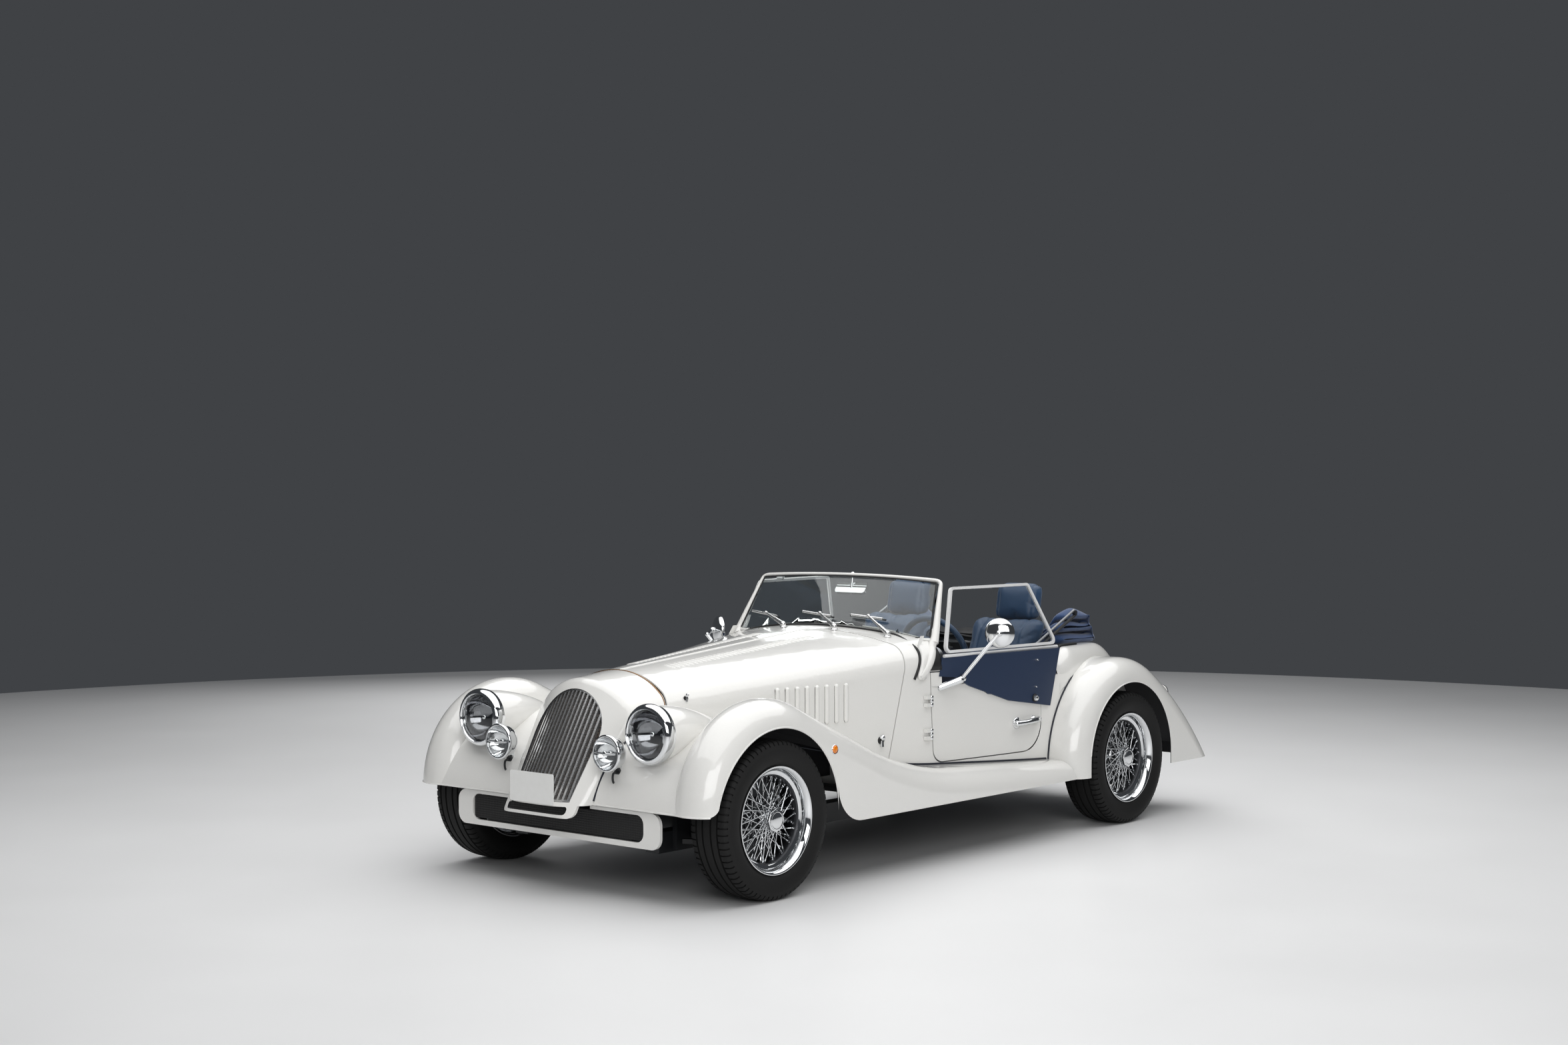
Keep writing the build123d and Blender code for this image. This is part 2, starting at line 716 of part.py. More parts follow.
def hinge_knuckles():
    """The fixed hinge barrels above and below each door barrel, with their leaves."""
    x = hinge_x()
    parts = None
    for z in (HINGE_LOW_Z, HINGE_HIGH_Z):
        for step in (-1, 1):
            mid = z + step * HINGE_BARREL_L
            half = HINGE_BARREL_L / 2
            one = rod((x, at(HINGE_AT), mid - half), (x, at(HINGE_AT), mid + half), HINGE_BARREL_R)
            one += block(x - 16, x + 3, at(HINGE_AT) - 34, at(HINGE_AT) - 4, mid - half, mid + half)
            parts = one if parts is None else parts + one
    return parts


def side_screen_plane(out=0):
    """The leaning plane of the side screen; its normal points outwards."""
    run = Vector(TUB_WIDE_HALF - SCREEN_HALF - 22, TUB_WIDE_AT - SCREEN_AT, 0).normalized()
    level = Vector(run.Y, -run.X, 0)
    lean = math.radians(SIDE_SCREEN_LEAN)
    normal = level * math.cos(lean) + Vector(0, 0, math.sin(lean))
    foot = Vector(SCREEN_HALF + 22, at(SCREEN_AT + 72), SIDE_SCREEN_Z)
    return Plane(foot + normal * out, x_dir=run, z_dir=normal)


def side_ring(inset):
    """The side screen's outline inset from its outer edge."""
    points = list(SIDE_TABLE)
    face = make_face(chain(points + points[:1]))
    face = fillet(face.vertices(), 28)
    return offset(face, -inset) if inset else face


def side_frame():
    """The side screen's frame with the channel in which the panes slide."""
    ring = side_ring(0) - side_ring(SIDE_FRAME_W)
    return extrude(side_screen_plane(-SIDE_FRAME_T / 2) * ring, amount=SIDE_FRAME_T)


def side_glass():
    """The side screen's panes."""
    return extrude(side_screen_plane(-GLASS_T / 2) * side_ring(SIDE_FRAME_W + SEAT_GAP), amount=GLASS_T)


def side_panel():
    """The covered lower panel of the side screen, lying on the outside of the door."""
    points = [
        (at(1312), 752), (at(1420), 742), (at(1500), 700), (at(1760), 618), (at(2062), 574),
        (at(2140), SIDE_SCREEN_Z - 14), (at(1330), SIDE_SCREEN_Z - 14),
    ]
    wall = side_wall(PANEL_T + 2, 500, 1000) - side_wall(2, 400, 1100)
    wall &= side_poly(points, 380, 900)
    wall -= nose(2, 1100, SCUTTLE_REAR + 1, 100)
    return wall.solids().sort_by(SortBy.VOLUME)[-1]


def screen_plane(out=0):
    """The leaning plane of the windscreen; its normal points forwards and up."""
    lean = math.radians(SCREEN_LEAN)
    normal = Vector(0, -math.cos(lean), math.sin(lean))
    return Plane(Vector(0, at(SCREEN_AT), SCREEN_Z) + normal * out, x_dir=(1, 0, 0), z_dir=normal)


def screen_outline(inset):
    """The windscreen's outline, inset from its outer edge."""
    foot = SCREEN_FOOT_HALF
    head = SCREEN_HEAD_HALF
    low = -40
    edges = [ThreePointArc((-foot, low), (0, 30), (foot, low)), Line((foot, low), (head, SCREEN_SIDE_H))]
    edges += [ThreePointArc((head, SCREEN_SIDE_H), (0, SCREEN_MID_H), (-head, SCREEN_SIDE_H))]
    edges += [Line((-head, SCREEN_SIDE_H), (-foot, low))]
    face = make_face(edges)
    upper = [v for v in face.vertices() if v.Y > 100]
    face = fillet(upper, 45)
    return offset(face, -inset) if inset else face


def windscreen_frame():
    """The windscreen frame with the two legs that run down the scuttle sides."""
    ring = screen_outline(0) - screen_outline(SCREEN_FRAME_W)
    frame = extrude(screen_plane(-SCREEN_FRAME_T / 2) * ring, amount=SCREEN_FRAME_T)
    frame -= nose(SEAT_GAP * 3, 900, SCUTTLE_REAR + 1, 100)
    frame = frame.solids().sort_by(SortBy.VOLUME)[-1]
    points = [
        (at(1230), 742), (at(1182), 742), (at(1210), 800), (at(1231), 848), (at(1238), 890), (at(1240), 915),
        (at(1288), 928), (at(1314), 880), (at(1300), 850), (at(1264), 800),
    ]
    plate = nose(LEG_T, 1100, SCUTTLE_REAR) - nose(SEAT_GAP, 1050, SCUTTLE_REAR + 50, 100)
    plate -= extrude(screen_plane(-100) * screen_outline(SCREEN_FRAME_W), amount=200)
    for side in left_and_right(side_poly(points, 300, 900, ((0, 18), (1, 18)))):
        frame += (plate & side).solids().sort_by(SortBy.VOLUME)[-1]
    return frame.solids().sort_by(SortBy.VOLUME)[-1]


def windscreen_glass():
    """The windscreen's pane."""
    pane = extrude(screen_plane(-GLASS_T / 2) * screen_outline(SCREEN_FRAME_W + SEAT_GAP), amount=GLASS_T)
    pane -= nose(SEAT_GAP, 900, SCUTTLE_REAR + 1, 100)
    return pane.solids().sort_by(SortBy.VOLUME)[-1]


def wipers():
    """Three wipers, each a pivot on the scuttle, an arm and a blade along the glass."""
    made = []
    for u in (-330, 0, 330):
        z_foot = nose_top(WIPER_AT) - 80
        pivot = rod((u, at(WIPER_AT), z_foot), (u, at(WIPER_AT), nose_top(WIPER_AT) + WIPER_UP), 9)
        head = (u, at(WIPER_AT), nose_top(WIPER_AT) + WIPER_UP - 6)
        out = screen_plane(SCREEN_FRAME_T / 2 + 14)
        tip = point_on(out, u - 75, 116)
        near = point_on(out, u - 185, 84)
        far = point_on(out, u + 35, 146)
        one = pivot + bar(head, tip, 7) + bar(near, far, 9)
        one -= nose(SEAT_GAP, 900, SCUTTLE_REAR + 1, 100)
        made.append(one.solids().sort_by(SortBy.VOLUME)[-1])
    return made


def point_on(plane, u, v):
    """A world point from coordinates in a plane."""
    p = plane.origin + plane.x_dir * u + plane.y_dir * v
    return (p.X, p.Y, p.Z)


def interior_mirror():
    """The small mirror under the windscreen's head rail."""
    back = screen_plane(-SCREEN_FRAME_T / 2 - 46)
    high = SCREEN_MID_H - 70
    glass = extrude(back * Pos(0, high) * RectangleRounded(170, 52, 14), amount=16)
    foot = SCREEN_MID_H - 14
    puck = extrude(screen_plane(-SCREEN_FRAME_T / 2 - 12) * Pos(0, foot) * Circle(11), amount=12 - SEAT_GAP)
    a = point_on(screen_plane(-SCREEN_FRAME_T / 2 - 9), 0, foot - 4)
    b = point_on(screen_plane(-SCREEN_FRAME_T / 2 - 36), 0, high)
    return glass + puck + rod(a, b, 6)


def door_mirror():
    """The left door mirror: a base bar, a slanting stay and a round head."""
    base = (MIRROR_BASE_X, at(1318), 704)
    knee = (660, at(1408), 735)
    head = (762, at(1533), 936)
    piece = rod(base, knee, MIRROR_BASE_R) + rod(knee, head, MIRROR_STAY_R)
    piece += Pos(*knee) * Sphere(MIRROR_BASE_R)
    plane = Plane(Vector(758, at(1528), 934), z_dir=(0.25, 0.95, 0.05))
    piece += extrude(plane * Circle(MIRROR_R), amount=14)
    piece = piece - side_wall(SEAT_GAP, 300, 800) - nose(SEAT_GAP, 1100, SCUTTLE_REAR + 1, 100)
    return piece.solids().sort_by(SortBy.VOLUME)[-1]


def door_handle():
    """The left door's pull handle on two posts."""
    x = tub_half(1880) + 26
    grip = rod((x, at(1805), 512), (x, at(1962), 520), 12)
    for s in (1825, 1940):
        grip += rod((560, at(s), 516), (x, at(s), 516), 8)
    return (grip - side_wall(SEAT_GAP, 300, 800)).solids().sort_by(SortBy.VOLUME)[-1]


# Running gear

def tyre_shape():
    """A tyre about the X axis at the origin."""
    half = TYRE_W / 2
    tread = TYRE_TREAD_W / 2
    seat = RIM_HALF_W - 14
    wide = (TYRE_R + RIM_SEAT_R) / 2 + 4
    bead = RIM_FLANGE_R + 3
    side = [(tread, TYRE_R), (tread + 13, TYRE_R - 16), (half, wide), (half - 8, wide - 28), (seat, bead)]
    side += [(seat, RIM_SEAT_R + SEAT_GAP)]
    points = side + [(-x, r) for x, r in reversed(side)]
    return revolve(Plane.XY * make_face(chain(points + points[:1])), Axis.X)


def wire_wheel_shape():
    """A wire wheel about the X axis: rim, hub, cap, brake disc and crossed spokes. Outside is +X."""
    w = RIM_HALF_W
    t = RIM_WALL
    seat = w - 14 + SEAT_GAP
    points = [
        (-w, RIM_FLANGE_R), (-seat, RIM_FLANGE_R), (-seat, RIM_SEAT_R), (-42, RIM_SEAT_R),
        (-28, RIM_WELL_R + t), (36, RIM_WELL_R + t), (48, RIM_SEAT_R), (seat, RIM_SEAT_R),
        (seat, RIM_FLANGE_R), (w, RIM_FLANGE_R),
        (w - 4, RIM_SEAT_R - t), (52, RIM_SEAT_R - t), (40, RIM_WELL_R), (-32, RIM_WELL_R),
        (-46, RIM_SEAT_R - t), (-w + 4, RIM_SEAT_R - t),
    ]
    rim = revolve(Plane.XY * make_face(chain(points + points[:1])), Axis.X)
    hub_points = [
        (-DISC_IN - DISC_T, HUB_BORE_R), (-DISC_IN - DISC_T, DISC_R), (-DISC_IN, DISC_R),
        (-DISC_IN, HUB_R + 4), (-4, HUB_R), (10, HUB_R - 6), (HUB_OUT - 14, HUB_R - 6), (HUB_OUT, HUB_R),
        (HUB_OUT, HUB_BORE_R + 3), (HUB_OUT - 10, HUB_BORE_R),
    ]
    hub = revolve(Plane.XY * make_face(chain(hub_points + hub_points[:1])), Axis.X)
    cap = extrude(Plane.YZ.offset(HUB_OUT - 0.5) * RegularPolygon(CAP_R, 8), amount=CAP_OUT - HUB_OUT - 6)
    cap += extrude(Plane.YZ.offset(CAP_OUT - 6.5) * Circle(CAP_R - 8), amount=6.5, taper=20)
    spokes = []
    rows = (
        # hub station, hub radius, rim station, twist in degrees, offset in degrees
        (HUB_OUT - 6, HUB_R - 5, 33, 62, 0),
        (HUB_OUT - 6, HUB_R - 5, 27, -62, 15),
        (-8, HUB_R - 1, 16, 48, 7),
        (-8, HUB_R - 1, 4, -48, 22),
    )
    for hub_x, hub_r, rim_x, twist, shift in rows:
        for i in range(SPOKES_PER_ROW):
            a = math.radians(shift + i * 360 / SPOKES_PER_ROW)
            b = a + math.radians(twist)
            start = (hub_x, hub_r * math.cos(a), hub_r * math.sin(a))
            end = (rim_x, (RIM_WELL_R + 2) * math.cos(b), (RIM_WELL_R + 2) * math.sin(b))
            spokes.append(bar(start, end, SPOKE_W))
    wheel = rim.fuse(hub, cap, *spokes)
    return wheel.solids().sort_by(SortBy.VOLUME)[-1]


def caliper(y):
    """A left brake calliper behind the axle line, open around the disc."""
    inner = WHEEL_X - DISC_IN - DISC_T
    outer = WHEEL_X - DISC_IN
    low = TYRE_R - CALIPER_HALF_H
    high = TYRE_R + CALIPER_HALF_H
    body = block(inner - 30, outer + 14, y + CALIPER_IN_R, y + CALIPER_OUT_R, low, high)
    slot = rod((inner - MOVE_GAP, y, TYRE_R), (outer + MOVE_GAP, y, TYRE_R), DISC_R + MOVE_GAP)
    return body - slot


def knuckle_left():
    """The left steering knuckle: kingpin, stub axle, steering arm and brake calliper."""
    y = at(0)
    x = KINGPIN_X
    piece = rod((x, y, KINGPIN_LOW + SEAT_GAP), (x, y, KINGPIN_HIGH - SEAT_GAP), KINGPIN_R)
    piece += rod((x, y, KINGPIN_LOW - 22), (x, y, KINGPIN_HIGH + 22), PIN_R)
    shoulder = WHEEL_X - DISC_IN - DISC_T - MOVE_GAP
    piece += rod((x - 10, y, TYRE_R), (shoulder - 8, y, TYRE_R), 26)
    piece += rod((x - 10, y, TYRE_R), (WHEEL_X + HUB_OUT - 14, y, TYRE_R), SPINDLE_R)
    piece += block(x - 14, x + 8, y - 8, y + STEER_ARM, STEER_ARM_Z - 9, STEER_ARM_Z + 9)
    piece += caliper(y)
    piece += block(x - 6, shoulder - 4, y, y + CALIPER_IN_R + 10, TYRE_R - 16, TYRE_R + 16)
    return piece.solids().sort_by(SortBy.VOLUME)[-1]


def steering_rack():
    """The rack with its two track rods, short of the steering arms where the linkage is opened."""
    y = at(STEER_ARM)
    bar_x = RACK_HALF - 12
    rack = rod((-bar_x, y, STEER_ARM_Z), (bar_x, y, STEER_ARM_Z), RACK_R)
    rack += rod((-RACK_HALF, y, STEER_ARM_Z), (-bar_x, y, STEER_ARM_Z), RACK_R + 4)
    rack += rod((bar_x, y, STEER_ARM_Z), (RACK_HALF, y, STEER_ARM_Z), RACK_R + 4)
    return rack


def front_suspension():
    """Both pairs of front wishbones with their spring columns, seated on the frame."""
    y = at(0)
    inner = RAIL_X + RAIL_W / 2 + SEAT_GAP
    arm = None
    for z in (KINGPIN_LOW - 12, KINGPIN_HIGH + 12):
        boss_low = z - 12
        boss_high = z + 12
        boss = rod((KINGPIN_X, y, boss_low), (KINGPIN_X, y, boss_high), 24)
        boss += bar((inner, y - 120, z), (KINGPIN_X - 8, y, z), 18)
        boss += bar((inner, y + 88, z), (KINGPIN_X - 8, y, z), 18)
        boss -= rod((KINGPIN_X, y, boss_low - 5), (KINGPIN_X, y, boss_high + 5), PIN_R + SEAT_GAP)
        boss -= block(0, inner, y - 300, y + 300, 100, 600)
        arm = boss if arm is None else arm + boss
    tower = block(inner, inner + 22, y - 150, y + 106, RAIL_LOW + 10, KINGPIN_HIGH + 40)
    column = rod((inner + 54, y, RAIL_LOW + 40), (inner + 54, y, KINGPIN_HIGH + 60), 38)
    column += block(inner, inner + 70, y - 20, y + 20, KINGPIN_HIGH + 30, KINGPIN_HIGH + 60)
    column += block(inner, inner + 70, y - 20, y + 20, RAIL_LOW + 40, RAIL_LOW + 70)
    return left_and_right((arm + tower + column).solids().sort_by(SortBy.VOLUME)[-1])


def rear_axle():
    """The rear axle: differential, axle tubes, stub axles and spring seats on the rails."""
    y = REAR_AXLE
    shoulder = WHEEL_X - DISC_IN - DISC_T - MOVE_GAP
    piece = Pos(0, y, TYRE_R) * Cylinder(DIFF_R, 2 * DIFF_HALF, rotation=(0, 90, 0))
    piece += rod((-shoulder, y, TYRE_R), (shoulder, y, TYRE_R), AXLE_TUBE_R)
    tip = WHEEL_X + HUB_OUT - 14
    piece += rod((-tip, y, TYRE_R), (tip, y, TYRE_R), SPINDLE_R)
    for x in (-RAIL_X, RAIL_X):
        piece += block(x - 32, x + 32, y - 60, y + 60, RAIL_HIGH + FLOOR_T + SEAT_GAP, TYRE_R)
    brake = caliper(y)
    brake += block(shoulder - 40, shoulder - 4, y, y + CALIPER_IN_R + 10, TYRE_R - 16, TYRE_R + 16)
    for side in left_and_right(brake):
        piece += side
    return piece.solids().sort_by(SortBy.VOLUME)[-1]


def chassis_frame():
    """The ladder frame with its cross members and floor plates, as one welded piece."""
    tail = at(WHEELBASE + RAIL_REAR_OVER)
    frame = None
    for x in (-RAIL_X, RAIL_X):
        one = block(x - RAIL_W / 2, x + RAIL_W / 2, at(RAIL_FRONT), tail, RAIL_LOW, RAIL_HIGH)
        frame = one if frame is None else frame + one
    frame += block(-RAIL_X, RAIL_X, at(RAIL_FRONT), at(RAIL_FRONT + 190), RAIL_HIGH - 20, RAIL_HIGH)
    wide = RAIL_X + RAIL_W
    frame -= block(-wide, wide, at(RAIL_FRONT) - 1, at(RAIL_FRONT + 150), 0, RAIL_HIGH - HORN_H)
    wide = RAIL_X + RAIL_W / 2
    frame += block(-wide, wide, at(-CROSS_HALF), at(CROSS_HALF), RAIL_LOW, CROSS_HIGH)
    frame += block(-RAIL_X, RAIL_X, tail - 80, tail, RAIL_LOW + 54, RAIL_HIGH)
    y = at(STEER_ARM)
    guide = rod((-RACK_GUIDE_HALF, y, STEER_ARM_Z), (RACK_GUIDE_HALF, y, STEER_ARM_Z), RACK_R + 9)
    for x in (-RACK_GUIDE_HALF + 30, RACK_GUIDE_HALF - 30):
        guide += block(x - 25, x + 25, at(CROSS_HALF) - 5, y, STEER_ARM_Z - 12, STEER_ARM_Z + 12)
    frame += guide
    frame -= rod((-RACK_HALF, y, STEER_ARM_Z), (RACK_HALF, y, STEER_ARM_Z), RACK_R + SEAT_GAP)
    half = [(s, tub_half(s) - 14) for s in (SCREEN_AT, TUB_MID_AT, TUB_WIDE_AT)]
    end = at(WHEELBASE - ARCH_R - 6)
    right = [(nose_half(FLOOR_FRONT) - 14, at(FLOOR_FRONT))]
    right += [(h, at(s)) for s, h in half] + [(TUB_WIDE_HALF - 14, end)]
    narrow = [(540, end), (540, at(WHEELBASE + 360)), (400, tail)]
    points = right + narrow
    points = points + [(-px, py) for px, py in reversed(points)]
    plate = extrude(Plane.XY.offset(RAIL_HIGH) * make_face(chain(points + points[:1])), amount=FLOOR_T)
    wide = DIFF_HALF + 12
    plate -= block(-wide, wide, REAR_AXLE - DIFF_R, REAR_AXLE + DIFF_R, RAIL_LOW, RAIL_HIGH + 50)
    return (frame + plate).solids().sort_by(SortBy.VOLUME)[-1]


def engine_block():
    """The engine with its gearbox as one plain block, and the radiator panel ahead of it."""
    engine = block(-200, 200, at(30), at(700), CROSS_HIGH + SEAT_GAP, 730)
    engine += block(-110, 110, at(690), at(1165), CROSS_HIGH + SEAT_GAP, 480)
    radiator = block(-165, 165, at(-235), at(-190), RAIL_HIGH + SEAT_GAP, 690)
    return [engine, radiator]


def exhaust():
    """The silencer under the rear floor with its two tail pipes."""
    z = RAIL_HIGH - SEAT_GAP - 55
    y = at(WHEELBASE + 300)
    box = rod((-240, y, z), (240, y, z), 55)
    for x in (-180, 180):
        box += rod((x, y, z), (x, at(WHEELBASE + 690), z), 24)
    return box


# Cabin

def dashboard():
    """The dashboard panel under the rear edge of the scuttle."""
    panel = nose(-SCUTTLE_T - SEAT_GAP, SCUTTLE_REAR - 28, SCUTTLE_REAR - 4, 640)
    half = SCREEN_HALF - TUB_T - MOVE_GAP
    return panel & block(-half, half, at(1200), at(1400), 600, 1000)


def steering_line():
    """Start, end and direction of the steering column."""
    a = Vector(SEAT_X, at(COLUMN_FRONT_AT), COLUMN_FRONT_Z)
    b = Vector(SEAT_X, at(WHEEL_HUB_AT), WHEEL_HUB_Z)
    return a, b, (b - a).normalized()


def steering_column():
    """The steering column from the dashboard to just short of the wheel."""
    a, b, d = steering_line()
    start = a - d * 30
    column = extrude(Plane(start, z_dir=d) * Circle(COLUMN_R), amount=(b - start).length - 26)
    column += extrude(Plane(start, z_dir=d) * Circle(9), amount=(b - start).length - 4)
    return column - nose(-SCUTTLE_T, SCUTTLE_REAR - 200, SCUTTLE_REAR - 4 + SEAT_GAP, 400)


def steering_wheel():
    """The steering wheel: rim, hub and three spokes."""
    a, b, d = steering_line()
    plane = Plane(b, x_dir=(1, 0, 0), z_dir=d)
    wheel = plane * Torus(WHEEL_RIM_R, 14)
    wheel += plane * (Pos(0, 0, -4) * Cylinder(38, 36))
    for turn in (-90, 30, 150):
        c = math.cos(math.radians(turn))
        s = math.sin(math.radians(turn))
        wheel += bar(point_on(plane, 20 * c, 20 * s), point_on(plane, WHEEL_RIM_R * c, WHEEL_RIM_R * s), 13)
    wheel -= extrude(Plane(b - d * 60, z_dir=d) * Circle(9 + SEAT_GAP), amount=60)
    return wheel.solids().sort_by(SortBy.VOLUME)[-1]


def seat_left():
    """The left seat: cushion, back and headrest in one padded piece."""
    x0 = SEAT_X - SEAT_W / 2
    x1 = SEAT_X + SEAT_W / 2
    floor = RAIL_HIGH + FLOOR_T + SEAT_GAP
    points = [(at(1560), floor), (at(2090), floor), (at(2090), 420), (at(1545), 450)]
    base = side_poly(points, x0, x1, ((3, 50),))
    points = [(at(1960), 420), (at(2100), 400), (at(2285), 962), (at(2225), 988), (at(2150), 962)]
    back = side_poly(points, x0 + 10, x1 - 10, ((3, 25), (4, 40)))
    points = [(at(2160), 930), (at(2280), 930), (at(2316), 1108), (at(2200), 1126)]
    rest = side_poly(points, SEAT_X - 140, SEAT_X + 140, ((2, 40), (3, 40)))
    return base + back + rest


def cockpit_trim():
    """The tunnel and the rear bulkhead of the cabin."""
    floor = RAIL_HIGH + FLOOR_T + SEAT_GAP
    tunnel = block(-75, 75, at(FIREWALL_AT + FIREWALL_T) + SEAT_GAP, at(2350), floor, 500)
    wall = tub(-TUB_T - SEAT_GAP, floor)
    wall &= block(-900, 900, at(2340), at(2364), floor, TUB_TOP - TUB_ROUND_RISE - 2)
    return tunnel + wall


def hood_bundle():
    """The folded hood lying across the deck behind the seats."""
    deck = DECK_TOP + 12
    points = [
        (at(2432), deck), (at(2670), deck), (at(2700), 850), (at(2640), 930), (at(2570), 975),
        (at(2500), 975), (at(2425), 915),
    ]
    rounds = ((1, 20), (2, 30), (3, 40), (4, 40), (5, 40), (6, 30))
    return side_poly(points, -520, 520, rounds) - tub(SEAT_GAP, 100)


def hood_frame():
    """The two folded hood irons that stand from the body sides to the bundle."""
    x = 535
    low = TUB_TOP - TUB_ROUND_RISE + SEAT_GAP
    one = bar((x, at(2345), 690), (x, at(2440), 880), 16) + bar((x, at(2380), 690), (x, at(2530), 930), 16)
    one += bar((x, at(2440), 880), (x, at(2530), 930), 16)
    one += block(x - 8, x + 8, at(2335), at(2392), low, 740)
    one &= block(300, 900, at(2200), at(2700), low, 1000)
    one -= block(0, 520 + SEAT_GAP, at(2200), at(2800), 600, 1100)
    one -= tub(SEAT_GAP, 100) & block(-900, 900, at(COCKPIT_REAR) - SEAT_GAP, at(2900), 100, 900)
    return left_and_right(one.solids().sort_by(SortBy.VOLUME)[-1])


# Lamps and small outside pieces

def lamp_shells(wing_solid):
    """The bright rims and bowls of the head and spot lamps on both sides."""
    made = []
    x = HEAD_X
    y = at(HEAD_Y) - SEAT_GAP
    edges = chain([
        (HEAD_R - 5, y), (HEAD_R, y - 8), (HEAD_R - 6, y - 20), (HEAD_R - 17, y - 24), (HEAD_R - 20, y - 14),
        (HEAD_R - 20, y), (62, y + 84), (0, y + 96), (0, y + 100), (64, y + 88), (HEAD_R - 16, y + 4),
        (HEAD_R - 16, y), (HEAD_R - 5, y),
    ])
    head = turned(edges, x, HEAD_Z)
    made += left_and_right(head)
    x = SPOT_X
    y = at(SPOT_Y)
    edges = chain([
        (SPOT_R - 10, y), (SPOT_R - 2, y + 2), (SPOT_R, y + 10), (SPOT_R - 3, y + 18), (SPOT_R - 8, y + 30),
        (50, y + 62), (20, y + 80), (0, y + 84), (0, y + 78), (17, y + 75), (46, y + 58),
        (SPOT_R - 12, y + 28), (SPOT_R - 10, y),
    ])
    spot = turned(edges, x, SPOT_Z)
    spot += rod((x, y + 80, SPOT_Z), (x, y + 240, SPOT_Z), 15)
    spot -= wing_solid
    spot = spot.solids().sort_by(SortBy.VOLUME)[-1]
    made += left_and_right(spot)
    return made


def lamp_lenses():
    """The domed lenses of the head and spot lamps on both sides."""
    made = []
    for x, y, z, r, bulge in (
        # across, along, height, radius, dome
        (HEAD_X, at(HEAD_Y) - SEAT_GAP - 12, HEAD_Z, HEAD_R - 20 - SEAT_GAP, 22),
        (SPOT_X, at(SPOT_Y) + 14, SPOT_Z, SPOT_R - 11.5, 10),
    ):
        ball = (r ** 2 + bulge ** 2) / (2 * bulge)
        part = ball - math.sqrt(ball ** 2 - (r * 0.6) ** 2)
        edges = [ThreePointArc((r, y), (r * 0.6, y - bulge + part), (0, y - bulge))]
        edges += chain([(0, y - bulge), (0, y + 5 - bulge)])
        edges += [ThreePointArc((0, y + 5 - bulge), (r * 0.6, y + 5 - bulge + part), (r, y + 5))]
        edges += chain([(r, y + 5), (r, y)])
        made += left_and_right(turned(edges, x, z))
    return made


def side_repeaters(wing_solid):
    """The round amber repeaters behind the front wheels."""
    r = REPEATER_R
    tip = WING_X + REPEATER_OUT
    inside = WING_X - 15
    edge = tip - REPEATER_BALL_R + math.sqrt(REPEATER_BALL_R ** 2 - r ** 2)
    middle = tip - REPEATER_BALL_R + math.sqrt(REPEATER_BALL_R ** 2 - (r / 2) ** 2)
    edges = [ThreePointArc((tip, 0), (middle, r / 2), (edge, r))]
    edges += chain([(edge, r), (inside, r), (inside, 0), (tip, 0)])
    lamp = Pos(0, at(REPEATER_AT), REPEATER_Z) * revolve(Plane.XY * make_face(edges), Axis.X)
    lamp = (lamp - wing_solid).solids().sort_by(SortBy.VOLUME)[-1]
    return left_and_right(lamp)


def rear_lamps(wing_solid):
    """Two round lamps on the tail of each rear wing."""
    made = []
    x = WING_X - REAR_LAMP_SHARE * (WING_X - tub_half(REAR_LAMP_AT))
    for z, stop in ((560, 560), (480, 640)):
        lamp = rod((x, REAR_AXLE + 300, z), (x, REAR_AXLE + stop, z), REAR_LAMP_R)
        lamp = lamp - wing_solid - tub(SEAT_GAP, 100)
        made += left_and_right(lamp.solids().sort_by(SortBy.VOLUME)[-1])
    return made


def front_valance(cowl_solid):
    """The white valance frame under the wings, around the lower intake."""
    outer = Pos(0, 281) * RectangleRounded(1120, 138, 45)
    hole = Pos(0, 285) * RectangleRounded(950, 104, 36)
    frame = front_prism(outer - hole, -390, -376 - SEAT_GAP)
    return frame - cowl_solid


def valance_mesh(cowl_solid):
    """The dark grid in the lower intake."""
    area = Pos(0, 285) * RectangleRounded(950 - 2 * SEAT_GAP, 104 - 2 * SEAT_GAP, 36)
    grid = area - (Pos(0, 285) * RectangleRounded(930, 84, 26))
    for i in range(-11, 12):
        grid += Pos(i * 40, 285) * Rectangle(3, 92)
    for z in (265, 285, 305):
        grid += Pos(0, z) * Rectangle(936, 3)
    return (front_prism(grid, -386, -379) - cowl_solid).solids().sort_by(SortBy.VOLUME)[-1]


def front_plate(cowl_solid):
    """The blank front plate with its two brackets."""
    plate = front_prism(Pos(0, 415) * RectangleRounded(240, 118, 8), -515, -512.5)
    for x in (-80, 80):
        plate += block(x - 12, x + 12, at(-513), at(-440), 357, 363)
    return (plate - cowl_solid).solids().sort_by(SortBy.VOLUME)[-1]


def rear_plate():
    """The blank rear plate on the tail."""
    return block(-260, 260, at(TAIL_AT) + SEAT_GAP, at(TAIL_AT) + 4, 290, 400)


def save(name, shapes):
    """Write one node from one solid or several."""
    if isinstance(shapes, list):
        shape = Compound(children=[Solid(s.solids()[0].wrapped) for s in shapes])
    else:
        shape = shapes.solids()[0] if len(shapes.solids()) == 1 else shapes
    export_step(shape, "parts/" + name + ".step")


